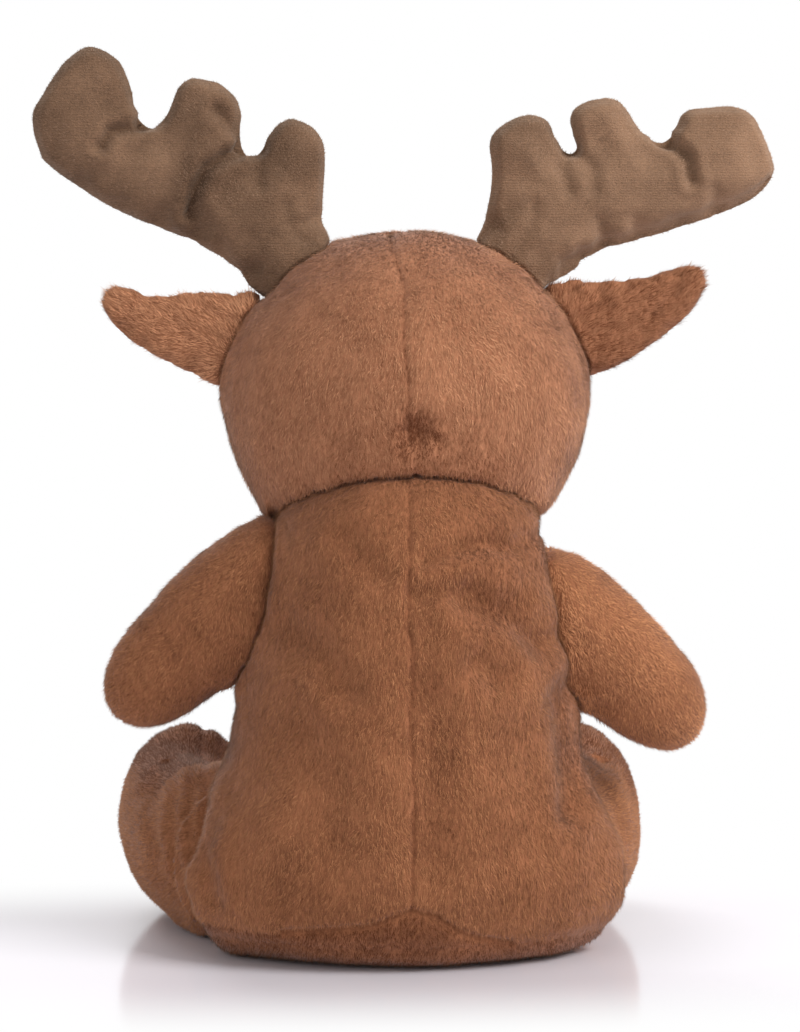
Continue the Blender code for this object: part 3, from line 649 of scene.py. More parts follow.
# %% Shape the ears and antlers
def crease(obj, lines, deep, wide):
    """Press lines of the picture into the back of a flat form."""
    def depth(points, known):
        total = 0.35 * lumps(points, 8 * MM, 5.0)
        for weight, corners in lines:
            far = distance_to_line(points[:, ::2], picture_line(corners, y=-0.022))
            groove = 0.3 * fall(far - 2 * wide * MM, wide * MM) - fall(far, wide * MM)
            total = total + weight * deep * groove
        edge = 0.5 * fall(known["seam"], 1.0 * MM)
        return total * (known["seam"] > 1.5 * MM) - edge + meeting(points, known, 1.8, 0)
    press(obj, depth)


ears, antlers = {}, {}
for side in (LEFT, RIGHT):
    word = WORD[side]
    nodes = [f"ear_back_{word}", f"ear_lining_{word}"]
    ears[side] = stuffed(
        f"ear_form_{word}", nodes, voxel=1.4, smooth=3, even=4, inset=0.7, by_cloth=False,
    )
    crease(ears[side], EAR_CREASES[side], deep=1.2, wide=2.0)
    nodes = [f"antler_back_{word}", f"antler_front_{word}", f"antler_stuffing_{word}"]
    antlers[side] = stuffed(
        f"antler_form_{word}", nodes, voxel=1.6, smooth=3, even=4, inset=0.2, by_cloth=False,
    )
    crease(antlers[side], ANTLER_CREASES[side], deep=1.9, wide=2.4)

# %% [markdown]
# ## Closing the valleys
#
# Two stuffed forms that are sewn together press on each other, so no daylight shows between them.
# Each form was drawn in by the height of its pile, which opens a gap at every join. Here the points
# beside a neighbour lean towards it, half of the way each, until the two nearly touch.

# %% Lean neighbours together
LEAN_REACH = 9 * MM
TOUCHING = 0.8 * MM


def lean_in(obj, others, most):
    """Move the points that face another form towards it, at most this many mm."""
    points, normals = points_of(obj), normals_of(obj)
    move = np.zeros_like(points)
    for i in np.nonzero(facts[obj.name]["near"] < LEAN_REACH)[0]:
        at, _, _, far = others.find_nearest(Vector(points[i]), LEAN_REACH)
        if at is None or far < TOUCHING:
            continue
        way = (np.array(at) - points[i]) / far
        facing = max(way @ normals[i], 0.0)
        gap = 0.5 * (far - TOUCHING) * np.exp(-((far / (6 * MM)) ** 2)) * min(1.0, 2 * facing)
        move[i] = way * min(gap, most * MM)
    for axis in range(3):
        move[:, axis] = evened(obj, move[:, axis], 4)
    move[points[:, 2] < RESTING] = 0
    set_points(obj, points + move)
    return np.linalg.norm(move, axis=1).max()


all_forms = [body, head, *arms.values(), *legs.values(), *ears.values(), *antlers.values()]


def others_of(form):
    return tree_of([other.data for other in all_forms if other is not form])


for _ in range(2):
    for form in all_forms:
        moved = lean_in(form, others_of(form), 2.0)
        print(form.name, "leans in by up to", round(moved / MM, 2), "mm")

# %% [markdown]
# ## Nodes as sums
#
# A material is a graph of nodes, and a graph is slow to write. So one small class wraps an output
# socket, and plus, minus and times on it add Math nodes. Its add method makes any other node: first
# its settings, then the values or links of its sockets. Sums of plain numbers stay in Python.

# %% A class for shader sums
class Wire:
    """An output of a shader node. Sums of wires and numbers add Math nodes."""

    def __init__(self, node, output=0):
        self.node = node
        self.socket = node.outputs[output]

    def __getitem__(self, output):
        return Wire(self.node, output)

    def add(self, kind, settings=None, inputs=None):
        """Any other node: its type, its settings, then the values or links of its sockets."""
        node = self.node.id_data.nodes.new(kind)
        for name, value in (settings or {}).items():
            setattr(node, name, value)
        for name, value in (inputs or {}).items():
            feed(node, name, value)
        return Wire(node)

    def maths(self, operation, *values):
        return self.add("ShaderNodeMath", {"operation": operation}, dict(enumerate(values)))

    def mix(self, low, high):
        """The wire as the share of the second of two colours."""
        inputs = {0: self, 6: low, 7: high}
        made = self.add("ShaderNodeMix", {"data_type": "RGBA", "clamp_factor": True}, inputs)
        return made[2]

    def between(self, low, high):
        """0 below low and 1 above high, with a soft step from one to the other."""
        settings = {"interpolation_type": "SMOOTHSTEP", "clamp": True}
        return self.add("ShaderNodeMapRange", settings, {0: self, 1: low, 2: high})

    def __add__(self, other):
        return self.maths("ADD", self, other)

    def __sub__(self, other):
        return self.maths("SUBTRACT", self, other)

    def __rsub__(self, other):
        return self.maths("SUBTRACT", other, self)

    def __mul__(self, other):
        return self.maths("MULTIPLY", self, other)

    __radd__ = __add__
    __rmul__ = __mul__


def feed(node, name, value):
    socket = node.inputs[name]
    if isinstance(value, Wire):
        node.id_data.links.new(value.socket, socket)
    elif hasattr(value, "__len__") and len(value) == 3 and socket.type == "RGBA":
        socket.default_value = (*value, 1)
    else:
        socket.default_value = value


print("wires add, subtract and multiply")

# %% Start a material, with noise and colours
def new_material(name, **values):
    """A material, its main shader and a wire of places on the object. Values set its sockets."""
    made = bpy.data.materials.new(name)
    made.use_nodes = True
    shader = made.node_tree.nodes["Principled BSDF"]
    for socket, value in values.items():
        feed(shader, socket.replace("_", " "), value)
    coordinates = Wire(made.node_tree.nodes.new("ShaderNodeTexCoord"), "Object")
    return made, shader, coordinates


def grain(at, size, detail=2.0, stretch=(1, 1, 1)):
    """Noise from 0 to 1, with features of about this size in metres."""
    squeeze = tuple(1 / s for s in stretch)
    scaled = at.add("ShaderNodeMapping", {}, {"Vector": at, "Scale": squeeze})
    look = {"Vector": scaled, "Scale": 1 / size, "Detail": detail}
    return scaled.add("ShaderNodeTexNoise", {}, look)


def linear(*srgb):
    """A colour read from a screen, 0 to 255, as the linear colour that shaders use."""
    shares = [c / 255 for c in srgb]
    return tuple(s / 12.92 if s < 0.04045 else ((s + 0.055) / 1.055) ** 2.4 for s in shares)


print("a mid brown of the plush:", [round(c, 3) for c in linear(149, 97, 69)])

# %% [markdown]
# ## The plush's pile
#
# Plush is a knitted backing with a dense pile of 2 to 3 mm that lies one way, the nap, and that
# brushing turns a little here and there. Blender's own hair would look right but is lost when a
# model is exported, so the pile is real geometry: slim closed tufts of four faces. A tuft is lit
# as the cloth at its place, tilted back by its lean, which is why brushed patches of plush turn
# lighter or darker. Its brown is one of a few shades, picked by noise and by chance, as no two
# fibres take the dye alike, and by painted light and shade: darker near the seams, in the folds
# and beside other forms, lighter or darker in patches and on one side.

# %% Shades of plush
def shades(name, dark, light, steps=6):
    """A row of materials from a dark to a light colour, each with a gloss that varies by fibre."""
    made = []
    for i in range(steps):
        share = i / (steps - 1)
        colour = tuple(a + (b - a) * share for a, b in zip(dark, light))
        material, shader, at = new_material(
            f"{name}_pile_{i + 1}", Base_Color=colour, Sheen_Weight=0.2, Sheen_Roughness=0.5,
            Sheen_Tint=(1.0, 0.86, 0.74), Specular_IOR_Level=0.15,
        )
        feed(shader, "Roughness", 0.7 + 0.25 * grain(at, 1 * MM))
        made.append(material)
    return made


BODY_PILE = shades("body", linear(97, 53, 28), linear(206, 142, 98))
HEAD_PILE = shades("head", linear(106, 58, 32), linear(224, 162, 121))
PALE_PILE = shades("pale", linear(168, 128, 100), linear(226, 194, 166))
print(len(BODY_PILE), "shades in each of three browns")

# %% Scatter places over a form
BARE = 0.7 * MM


def unit(vectors):
    return vectors / np.maximum(np.linalg.norm(vectors, axis=1), 1e-9)[:, None]


def scatter(obj, per_mm2, rng, panel=None):
    """Random places on a form or one of its panels: where, the normal and what is known there."""
    points, normals, triangles = points_of(obj), normals_of(obj), triangles_of(obj)
    known = facts[obj.name]
    if panel is not None:
        triangles = triangles[np.round(known["panel"][triangles].mean(axis=1)) == panel]
    a, b, c = points[triangles].transpose(1, 0, 2)
    areas = np.linalg.norm(np.cross(b - a, c - a), axis=1) / 2
    count = int(areas.sum() / MM**2 * per_mm2)
    corners = triangles[rng.choice(len(triangles), count, p=areas / areas.sum())]
    u, v = rng.random(count), rng.random(count)
    u, v = np.where(u + v > 1, 1 - u, u), np.where(u + v > 1, 1 - v, v)
    shares = np.stack([1 - u - v, u, v], axis=1)
    at = (points[corners] * shares[:, :, None]).sum(axis=1)
    out = unit((normals[corners] * shares[:, :, None]).sum(axis=1))
    seam, near = [(known[key][corners] * shares).sum(axis=1) for key in ("seam", "near")]
    open_cloth = (near > BARE) & (seam > rng.uniform(0, 0.3, count) * MM)
    return at[open_cloth], out[open_cloth], seam[open_cloth], near[open_cloth]


print("no tuft is closer than", round(BARE / MM, 1), "mm to a neighbour, or in a stitch")

# %% Light tufts across a join
SHARED_LIGHT = 6 * MM


def light_across(obj, at, out, near):
    """The normals that tufts are lit by: beside a join they turn half way to the neighbour's."""
    others = others_of(obj)
    lit = out.copy()
    for i in np.nonzero(near < 2 * SHARED_LIGHT)[0]:
        found, normal, _, far = others.find_nearest(Vector(at[i]), 2 * SHARED_LIGHT)
        if found is not None:
            share = 0.5 * np.exp(-((far / SHARED_LIGHT) ** 2))
            lit[i] = out[i] * (1 - share) + np.array(normal) * share
    return unit(lit)


print("tufts within", round(2 * SHARED_LIGHT / MM), "mm of a join share its light")

# %% Build a mesh of tufts
TUFT_FACES = np.array([(0, 1, 3), (1, 2, 3), (2, 0, 3), (2, 1, 0)])


def tuft_mesh(name, points, lit, shade_numbers, materials):
    """One mesh of closed tufts: for each its four corners, their normals and its shade."""
    count = len(points)
    faces = (np.arange(count)[:, None, None] * 4 + TUFT_FACES).reshape(-1, 3)
    mesh = bpy.data.meshes.new(name)
    mesh.vertices.add(count * 4)
    mesh.vertices.foreach_set("co", points.astype(np.float32).ravel())
    mesh.loops.add(len(faces) * 3)
    mesh.loops.foreach_set("vertex_index", faces.astype(np.int32).ravel())
    mesh.polygons.add(len(faces))
    mesh.polygons.foreach_set("loop_start", np.arange(len(faces), dtype=np.int32) * 3)
    for material in materials:
        mesh.materials.append(material)
    mesh.polygons.foreach_set("material_index", np.repeat(shade_numbers, 4).astype(np.int32))
    mesh.update(calc_edges=True)
    mesh.shade_smooth()
    mesh.normals_split_custom_set_from_vertices(lit.reshape(-1, 3).astype(np.float32))
    return mesh


print(len(TUFT_FACES), "faces to a tuft")

# %% Lay tufts along the nap
FLATTEST = radians(6)


def along_nap(at, out, nap, lean, tall, flat, rng, seed):
    """The way that each tuft points, with the brushed patches and the clumps that turn it."""
    nap = unit(nap - out * (nap * out).sum(axis=1)[:, None])
    brushed = lumps(at, 15 * MM, seed + 0.5)
    clumps = lumps(at * (1, 1, 0.5), 1.1 * MM, seed + 9.0)
    turn = 0.6 * brushed + 0.4 * lumps(at, 5 * MM, seed + 7.0) + rng.normal(0, 0.22, len(at))
    nap = nap * np.cos(turn)[:, None] + np.cross(out, nap) * np.sin(turn)[:, None]
    rise = lean + 10 * lumps(at, 7 * MM, seed + 3.0) + 9 * clumps + rng.normal(0, 7, len(at))
    rise = np.maximum(np.radians(rise) * (0.4 + 0.6 * tall * flat), FLATTEST)
    return nap * np.cos(rise)[:, None] + out * np.sin(rise)[:, None], brushed, clumps


def tuft_corners(at, out, way, long, wide, askew):
    """Three corners at the root and one at the tip of each tuft, with its side and its top."""
    side = unit(np.cross(way, out))
    top = unit(out - way * (out * way).sum(axis=1)[:, None])
    root = at - out * 0.2 * MM
    tip = root + way * long[:, None] + side * (askew * long)[:, None]
    half = side * (wide / 2)[:, None]
    points = np.stack([root - half, root + half, root - top * (wide * 0.3)[:, None], tip], axis=1)
    points[:, :, 2] = np.maximum(points[:, :, 2], 0.05 * MM)
    return points, side, top


print("no tuft lies flatter than", round(degrees(FLATTEST)), "degrees")

# %% Grow tufts
TUFT_LENGTH = 2.3


def pile(
    name, obj, materials, nap_at, shade, panel=None,
    per_mm2=2.3, length=TUFT_LENGTH, width=0.28, lean=27, seed=1,
):
    """
    The pile of one form or panel, as one mesh of slim tufts.

    The nap gives the way that tufts lie, which brushed patches, clumps and chance turn a little.
    Length and width are in mm and lean in degrees from the cloth. Beside a seam tufts are shorter,
    and beside a neighbour they are flatter and longer.
    """
    rng = np.random.default_rng(seed)
    at, out, seam, near = scatter(obj, per_mm2, rng, panel)
    count = len(at)
    tall = np.clip(seam / (1.1 * MM), 0.45, 1)
    flat = np.clip(near / (4 * MM), 0.3, 1)
    way, brushed, clumps = along_nap(at, out, nap_at(at), lean, tall, flat, rng, seed)
    beside = 1 + 0.9 * fall(near, 3 * MM)
    long = length * MM * rng.uniform(0.7, 1.2, count) * (0.35 + 0.65 * tall) * beside
    wide = width * MM * rng.uniform(0.7, 1.25, count)
    askew = rng.normal(0, 0.1, count)
    points, side, top = tuft_corners(at, out, way, long, wide, askew)
    lit = unit(light_across(obj, at, out, near) * 0.7 + top * 0.5)
    lit = np.stack([unit(lit - side * 0.35), unit(lit + side * 0.35), lit, lit], axis=1)
    tone = shade(at, seam, near) + 0.07 * brushed + 0.10 * rng.normal(0, 1, count) + 0.22 * clumps
    shade_numbers = np.clip((tone * len(materials)).astype(int), 0, len(materials) - 1)
    print(name, count, "tufts")
    return new_object(name, tuft_mesh(name, points, lit, shade_numbers, materials))


print("tufts are about", TUFT_LENGTH, "mm long where nothing presses them")

# %% Backing cloth under the pile
def backing(name, dark, light):
    """The knitted backing and the pile's dark roots, seen between the tufts."""
    made, shader, at = new_material(name, Sheen_Weight=0.2, Specular_IOR_Level=0.1)
    streaks = grain(at, 1.2 * MM, 3.0, (1, 1, 3.5))
    patches = grain(at, 18 * MM, 2.0)
    fine = grain(at, 0.5 * MM, 2.0)
    pressed = at.add("ShaderNodeAttribute", {"attribute_name": "pressed"})["Fac"]
    share = (streaks - 0.5) * 1.2 + (patches - 0.5) * 0.9 + (fine - 0.5) * 0.8
    # Painted shade: the backing darkens where the form was pressed in, in its seams, folds and
    # pucker.
    share = share + 0.5 - pressed * 0.06
    feed(shader, "Base Color", share.mix(dark, light))
    feed(shader, "Roughness", 0.85 + fine * 0.15)
    knit = {"Strength": 0.6, "Distance": 0.5 * MM, "Height": streaks + fine * 0.5}
    feed(shader, "Normal", at.add("ShaderNodeBump", {}, knit))
    return made


BODY_CLOTH = backing("body_plush_cloth", linear(104, 61, 38), linear(164, 106, 72))
HEAD_CLOTH = backing("head_plush_cloth", linear(116, 70, 46), linear(182, 124, 90))
PALE_CLOTH = backing("pale_plush_cloth", linear(140, 104, 80), linear(206, 170, 140))
print("backing cloths made")

# %% [markdown]
# ## Dressing the forms
#
# The nap of the head and body hangs down; on the limbs it runs to the paw or foot, and on the ears
# to the tip. Painted shade darkens the pile below the seat seam, in the seams, folds and the pucker
# of the head, low on the head and beside each join. Painted light and shade lighten or darken
# patches of the back, head and limbs, and the right side of the body, arms and ears.

# %% Which way the nap runs
SHOULDER, HIP = 0.045, 0.050


def hanging(points):
    """Down, and a little away from the middle."""
    return np.stack([points[:, 0] * 4, points[:, 1] * 3, -np.ones(len(points))], axis=1)


def outward(start):
    return lambda points: points - np.array(start)


def hip_nap(side):
    """The nap of a leg runs to the foot, but hangs down beside the body as the body's does."""
    def nap(points):
        share = np.clip((points[:, 1] + 0.03) / 0.04, 0, 1)[:, None]
        away = unit(points - np.array((side * HIP, 0.08, 0.05)))
        return away * (1 - share) + unit(hanging(points)) * share
    return nap


print("the nap of a limb starts", SHOULDER, "or", HIP, "m beside the middle")

# %% Patches of painted light and shade
PIXEL = 0.36 * MM
# Each is a place in the picture, a width in pixels and what it adds to the tone
# Painted shade and light on the back: darker down the middle, on the upper right and lower left,
# lighter on the upper left
BODY_PATCHES = [
    (434, 684, 13, -0.20), (440, 828, 22, -0.20), (500, 612, 26, -0.12), (500, 556, 36, -0.24),
    (300, 640, 22, -0.08), (310, 560, 30, 0.08),
]
# Painted shade low on the right of the head, painted light on the crown
HEAD_PATCHES = [(480, 466, 40, -0.22), (400, 290, 60, 0.06)]
# Painted light on the outer edge of the right leg, painted shade on the top of the left
LEG_PATCHES = [(622, 806, 26, 0.30), (160, 785, 24, -0.12)]
# Painted light on the upper arms
ARM_PATCHES = [(232, 556, 30, 0.16), (580, 578, 36, 0.10)]


def light_and_shade_patches(points, patches, y):
    """The tone that the patches add at each point, on a plane of y."""
    total = np.zeros(len(points))
    for px, py, wide, tone in patches:
        away = np.linalg.norm(points[:, ::2] - on_plane(px, py, y), axis=1)
        total += tone * fall(away, wide * PIXEL)
    return total


print(len(BODY_PATCHES) + len(HEAD_PATCHES) + len(LEG_PATCHES) + len(ARM_PATCHES), "patches")

# %% Shades of the body and head
def body_shade(points, seam, near):
    tone = np.full(len(points), 0.47) + 0.13 * lumps(points, 40 * MM, 1.0)
    # Painted shade: the right side of the body is darker.
    tone -= 0.06 * np.clip(-points[:, 0] / 0.05, 0, 1)
    flat, back = points[:, ::2], points[:, 1] > 0
    # Painted light and shade in patches on the back.
    tone += back * light_and_shade_patches(points, BODY_PATCHES, y=0.057)
    # Painted shade in the folds and in the groove of the centre seam.
    for line, deep, wide in BACK_FOLDS:
        tone -= back * 0.09 * deep * fall(distance_to_line(flat, line), wide * MM)
    tone -= back * 0.4 * fall(distance_to_line(flat, BACK_SEAM), 0.6 * MM)
    # Painted shade below the seat seam, where the body turns under towards the floor, and along
    # that seam.
    seam_x, seam_z = np.array(SEAT_SEAM[::-1]).T
    below = points[:, 2] < np.interp(points[:, 0], seam_x, seam_z)
    at_seat_seam = fall(distance_to_line(flat, SEAT_SEAM), 0.9 * MM)
    tone -= back * (0.34 * below + 0.3 * at_seat_seam)
    # Painted shade beside every seam and beside each neighbouring form.
    return tone - 0.08 * fall(seam, 1.5 * MM) - 0.05 * fall(near, 4 * MM)


def head_shade(points, seam, near):
    tone = np.full(len(points), 0.52) + 0.08 * lumps(points, 35 * MM, 2.0)
    flat, back = points[:, ::2], points[:, 1] > -0.015
    # Painted shade in the pucker's dimple and in the groove of the centre seam.
    at_pucker = fall(np.linalg.norm(flat - PUCKER, axis=1), 7 * MM)
    at_seam = fall(distance_to_line(flat, HEAD_SEAM), 0.7 * MM)
    tone -= back * (1.0 * at_pucker + 0.6 * at_seam)
    # Painted shade low on the back of the head, above the nape, where it overhangs the body.
    lowness = np.clip((0.208 - points[:, 2]) / 0.05, 0, 1)
    tone -= 0.34 * lowness * fall(points[:, 0] - 0.01, 42 * MM)
    # Painted light and shade in patches.
    tone += back * light_and_shade_patches(points, HEAD_PATCHES, y=0.036)
    # Painted shade beside every seam and beside each neighbouring form.
    return tone - 0.08 * fall(seam, 1.5 * MM) - 0.05 * fall(near, 4 * MM)


print("shades of body and head set")

# %% Shades of ears, arms and legs
def ear_shade(points, seam, near):
    on_right = points[:, 0] < 0
    # Painted shade: the right ear is darker, more so beside the head; painted light at the base of
    # the left ear.
    tone = 0.62 + 0.05 * lumps(points, 9 * MM, 3.0) - 0.30 * on_right
    return tone + np.where(on_right, -0.10, 0.10) * fall(near, 12 * MM)


def plain_shade(middle, patches=()):
    def shade(points, seam, near):
        # Painted shade: darker beside a neighbouring form.
        tone = middle + 0.1 * lumps(points, 20 * MM, 3.0) - 0.06 * fall(near, 5 * MM)
        return tone + light_and_shade_patches(points, patches, y=0.0)
    return shade


LEG_HOLLOWS = {
    LEFT: [(228, 730), (200, 742), (150, 756)],
    RIGHT: [(572, 734), (604, 748), (630, 764)],
}


def thigh_shade(side):
    """The top of a leg, where the arm hangs over it and no light reaches its pile, is darker."""
    hollow = picture_line(LEG_HOLLOWS[side], y=-0.08)

    def shade(points, seam, near):
        tone = 0.42 + 0.1 * lumps(points, 20 * MM, 3.0)
        dark = fall(distance_to_line(points[:, ::2], hollow), 9 * MM) * (points[:, 1] < -0.035)
        patches = light_and_shade_patches(points, LEG_PATCHES, y=0.0)
        return tone - 0.45 * dark + patches + 0.04 * fall(near, 6 * MM)
    return shade


# Painted light and shade: the right arm is lighter and the left darker, as the light falls.
ARM_LIT_TONE = {side: 0.54 - side * 0.13 for side in WORD}
print("tone of the arms:", {WORD[side]: round(tone, 2) for side, tone in ARM_LIT_TONE.items()})

# %% Dress a form in cloth and pile
dressed = []


def note_pressed(obj):
    """Keep the pressed depth, in mm, as an attribute that a material can read."""
    layer = obj.data.attributes.new("pressed", "FLOAT", "POINT")
    layer.data.foreach_set("value", facts[obj.name]["pressed"].astype(np.float32))


def dress(form, cloth, piles, of_other_cloth=()):
    """Give a form its backing cloth, and note it with its piles, to ride on a body later."""
    form.data.materials.clear()
    form.data.materials.append(cloth)
    note_pressed(form)
    dressed.append((form, [*piles, *of_other_cloth]))


def panel_piles(form, panels, materials, shade, seed):
    """A pile for each panel, denser on the back, which shows."""
    made = []
    for i, panel in enumerate(panels):
        dense = 2.4 if "back" in panel else 1.4
        name = f"pile_{panel}"
        made.append(pile(name, form, materials, hanging, shade, i, dense, seed=seed + i))
    return made


print("forms wait for their cloth:", len(all_forms) + 1)

# %% Dress the body, head and muzzle
body_piles = panel_piles(body, BODY_NODES[:4], BODY_PILE, body_shade, 1)
dress(body, BODY_CLOTH, body_piles)
head_piles = panel_piles(head, HEAD_NODES[:4], HEAD_PILE, head_shade, 11)
dress(head, HEAD_CLOTH, head_piles)
from_nose = outward((0, -0.2, 0.19))
muzzle_pile = pile(
    "pile_muzzle", muzzle, PALE_PILE, from_nose, plain_shade(0.5), length=2.0, seed=21
)
dress(muzzle, PALE_CLOTH, [muzzle_pile])

# %% Dress the arms and legs
for side, word in WORD.items():
    arm, leg = arms[side], legs[side]
    from_shoulder = outward((side * SHOULDER, 0.01, 0.17))
    arm_shade = plain_shade(ARM_LIT_TONE[side], ARM_PATCHES)
    arm_pile = pile(f"pile_arm_{word}", arm, BODY_PILE, from_shoulder, arm_shade, seed=31)
    dress(arm, BODY_CLOTH, [arm_pile])
    leg_piles = [
        pile(
            f"pile_{panel}_{word}", leg, BODY_PILE, hip_nap(side), thigh_shade(side), i, seed=33 + i
        )
        for i, panel in enumerate(["leg_outer", "leg_inner"])
    ]
    sole = pile(
        f"pile_sole_{word}", leg, PALE_PILE, hanging, plain_shade(0.4), 2, length=1.8, seed=36
    )
    dress(leg, BODY_CLOTH, leg_piles, [sole])

# %% Dress the ears
for side, word in WORD.items():
    ear_back = pile(
        f"pile_ear_back_{word}", ears[side], HEAD_PILE, outward((side * 0.05, -0.03, 0.21)),
        ear_shade, 0, length=3.4, lean=32, seed=37,
    )
    ear_lining = pile(
        f"pile_ear_lining_{word}", ears[side], PALE_PILE, outward((side * 0.05, -0.01, 0.21)),
        plain_shade(0.4), 1, length=2.2, seed=38,
    )
    dress(ears[side], HEAD_CLOTH, [ear_back], [ear_lining])

# %% [markdown]
# ## Antler velour
#
# The antlers are of a short velour, a cooler and darker brown than the plush. The material gives
# its colour, a fine wale, a soft sheen and the lighter spots where it was stroked the other way,
# with painted light on the right antler and painted shade in the creases, and tufts about 1 mm
# long break up its edge, which a material alone would leave hard.

# %% Velour material
velour, velour_shader, velour_at = new_material(
    "antler_velour", Sheen_Weight=0.2, Sheen_Roughness=0.45, Sheen_Tint=(1.0, 0.88, 0.72),
    Specular_IOR_Level=0.1,
)
wale = {"Vector": velour_at, "Scale": 330.0, "Distortion": 4.0, "Detail": 2.0, "Detail Scale": 2.5}
ribs = velour_at.add("ShaderNodeTexWave", {"bands_direction": "Z"}, wale)["Fac"]
nub = grain(velour_at, 0.6 * MM, 2.0)
stroked = grain(velour_at, 24 * MM, 3.0)
folded = velour_at.add("ShaderNodeAttribute", {"attribute_name": "pressed"})["Fac"]
lit_side = velour_at.add("ShaderNodeSeparateXYZ", {}, {"Vector": velour_at})["X"] * -1
# Painted shade: the velour darkens where its creases were pressed in.
tone = (ribs - 0.5) * 0.06 + (nub - 0.5) * 0.9 + (stroked - 0.5) * 1.4 + 0.42 - folded * 0.09
# Painted light: the velour is lighter on the toy's right, where x is negative, which is the right
# antler.
tone = tone + lit_side.between(-0.02, 0.13) * 0.42
feed(velour_shader, "Base Color", tone.mix(linear(78, 57, 42), linear(146, 113, 88)))
feed(velour_shader, "Roughness", 0.8 + 0.2 * nub)
wale_bump = {"Strength": 0.8, "Distance": 0.45 * MM, "Height": ribs * 0.3 + nub}
feed(velour_shader, "Normal", velour_at.add("ShaderNodeBump", {}, wale_bump))
print("velour with", len(velour.node_tree.nodes), "nodes")

# %% Dress the antlers
VELOUR_PILE = shades("velour", linear(84, 62, 47), linear(176, 141, 115))


def velour_shade(points, seam, near):
    ribbed = 0.05 * np.sin(points[:, 2] * 2 * pi / (1.2 * MM) + 2 * lumps(points, 9 * MM, 1.0))
    # Painted light: the right antler is lighter, most towards its tip.
    tip = np.clip((-points[:, 0] - 0.06) / 0.06, 0, 1)
    lighter = 0.38 + np.where(points[:, 0] < 0, 0.14 + 0.16 * tip, 0)
    # Painted shade: the pile darkens beside a neighbouring form.
    return lighter + ribbed + 0.16 * lumps(points, 14 * MM, 2.0) - 0.1 * fall(near, 6 * MM)


for side, word in WORD.items():
    velour_piles = []
    for i, panel in enumerate(["back", "front"]):
        velour_piles.append(pile(
            f"pile_antler_{panel}_{word}", antlers[side], VELOUR_PILE,
            outward((side * 0.04, 0, 0.24)), velour_shade, i, per_mm2=3.2 - 1.6 * i, length=1.1,
            width=0.25, lean=35, seed=41 + i,
        ))
    dress(antlers[side], velour, velour_piles)

# %% [markdown]
# ## Eyes, nose and mouth
#
# The eyes and the nose are moulded plastic and the mouth is one row of thread, and their CAD shapes
# are right, so they only get finishes: a black gloss with faint scuffs, and a twisted dark thread.

# %% Finish the small hard pieces
def mottled(name, size, detail, dark, light, rough, rougher, stretch=(1, 1, 1), **values):
    """A finish whose colour and roughness change together over spots of about this size."""
    made, shader, at = new_material(name, **values)
    spots = grain(at, size, detail, stretch)
    feed(shader, "Base Color", spots.mix(linear(*dark), linear(*light)))
    feed(shader, "Roughness", rough + rougher * spots)
    return made


gloss = mottled(
    "black_plastic", 2 * MM, 4.0, (14, 12, 12), (34, 30, 29), 0.12, 0.2,
    Coat_Weight=0.6, Coat_Roughness=0.05,
)
milky = mottled("washer_plastic", 3 * MM, 3.0, (206, 204, 196), (232, 230, 222), 0.35, 0.2)
thread = mottled(
    "dark_thread", 0.3 * MM, 2.0, (30, 20, 16), (72, 50, 40), 0.6, 0.3, (3, 1, 1), Sheen_Weight=0.3
)
FINISHES = {"washer": milky, "stitch": thread, "eye": gloss, "nose": gloss}
for node, obj in frame["nodes"].items():
    for word, finish in FINISHES.items():
        if word in node:
            obj.data.materials.clear()
            obj.data.materials.append(finish)
            break
print("small pieces finished")

# %% [markdown]
# ## What moves with what
#
# The body and head forms ride on their bodies, and so do the limbs, whose rounded roots turn in
# their recesses. Ears and antlers are sewn at the base and bend, but here they only have their
# places applied to their meshes and ride on no body.

# %% Ride, or stay in place
RIDERS = {"body_form": "torso", "head_form": "head", "muzzle_form": "head"}
for form, piles in dressed:
    kind, _, word = form.name.partition("_form")
    word = word.strip("_")
    for piece in (form, *piles):
        if kind in ("ear", "antler"):
            joint = next(j for j in frame["joints"] if j["name"] == f"{kind}_{word}_bend")
            base = Vector(joint["pos_m"])
            out = (Vector(points_of(form).mean(axis=0).tolist()) - base).normalized()
            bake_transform(piece)
        else:
            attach(piece, RIDERS.get(form.name, f"{kind}_{word}"))
print(len(dressed), "padded forms")

# %% [markdown]
# ## Floor, backdrop and light
#
# The toy stands on a pale glossy sheet before plain white. Raising the lamps until the background
# clips would burn the toy too, so the world is white only to the camera and in reflections, and
# the lamps stay soft. The key stands high on the right of the picture; a weak mate and a low lamp
# open its shadows, and a lamp on the far side rims the outline.

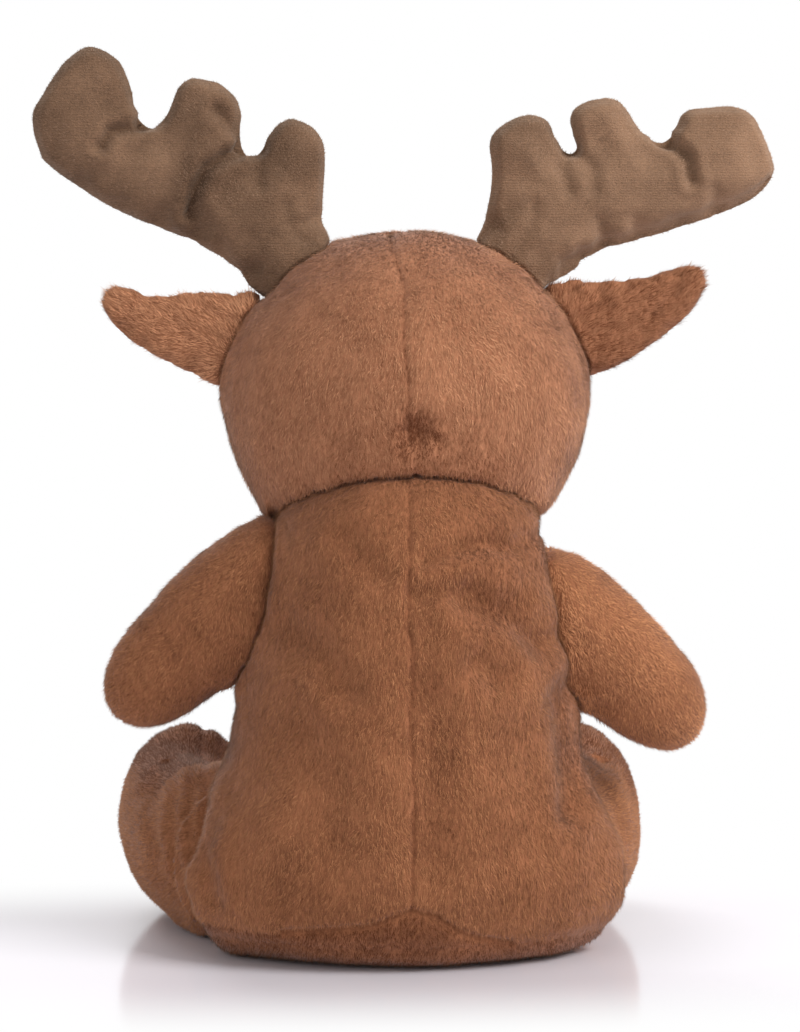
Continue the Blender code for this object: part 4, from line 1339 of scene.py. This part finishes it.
# %% Floor
floor_mesh = bpy.data.meshes.new("floor")
floor_mesh.from_pydata([(-3, -3, 0), (3, -3, 0), (3, 3, 0), (-3, 3, 0)], [], [(0, 1, 2, 3)])
floor = new_object("floor", floor_mesh)
SHEET_LOOK = {"Roughness": 0.13, "Specular_IOR_Level": 0.5}
sheet, sheet_shader, sheet_at = new_material("glossy_sheet", **SHEET_LOOK)
haze = grain(sheet_at, 0.25, 2.0)
feed(sheet_shader, "Base Color", haze.mix((0.76, 0.73, 0.78), (0.80, 0.77, 0.82)))
spread = {0: sheet_at, 1: (0.3, 1, 1)}
squeezed = sheet_at.add("ShaderNodeVectorMath", {"operation": "MULTIPLY"}, spread)
place = sheet_at.add("ShaderNodeVectorMath", {"operation": "LENGTH"}, {0: squeezed})["Value"]
white = sheet_at.add("ShaderNodeEmission", {}, {"Color": (1, 1, 1), "Strength": 1.0})
camera_ray = sheet_at.add("ShaderNodeLightPath")["Is Camera Ray"]
fades = place.between(0.06, 0.15) * camera_ray
fading_sheet = sheet_at.add("ShaderNodeMixShader", {}, {0: fades, 1: Wire(sheet_shader), 2: white})
feed(sheet.node_tree.nodes["Material Output"], "Surface", fading_sheet)
floor_mesh.materials.append(sheet)
print("floor 6 m square")

# %% World and lamps
WORLD_LIGHT = 0.56
world = bpy.data.worlds.new("world")
scene.world = world
world.use_nodes = True
plain = world.node_tree.nodes["Background"]
paths = Wire(world.node_tree.nodes.new("ShaderNodeLightPath"))
seen = paths.maths("MAXIMUM", paths["Is Camera Ray"], paths["Is Glossy Ray"])
seen = paths.maths("MAXIMUM", seen, paths["Is Transmission Ray"])
feed(plain, "Color", (1, 1, 1))
feed(plain, "Strength", WORLD_LIGHT + seen * (1 - WORLD_LIGHT))


def lamp(name, place, aim, size, watts):
    """A soft square lamp that faces a place on the toy."""
    made = bpy.data.objects.new(name, bpy.data.lights.new(name, "AREA"))
    made.data.size = size
    made.data.energy = watts
    made.location = place
    made.rotation_euler = (Vector(aim) - Vector(place)).to_track_quat("-Z", "Y").to_euler()
    scene.collection.objects.link(made)


lamp("key", (-1.25, 0.9, 1.55), (0, 0, 0.15), 0.9, 36)
lamp("mate", (1.3, 1.1, 0.7), (0, 0, 0.15), 1.0, 4)
lamp("low", (-1.3, 0.7, 0.35), (0, 0, 0.1), 0.8, 3)
lamp("far_rim", (0.5, -1.6, 1.2), (0, 0, 0.15), 1.0, 18)
print("four lamps, and a world that lights with", WORLD_LIGHT)

# %% [markdown]
# ## Colour management
#
# The Standard view shows each colour about as it is written.

# %% Set the view
scene.view_settings.view_transform = "Standard"
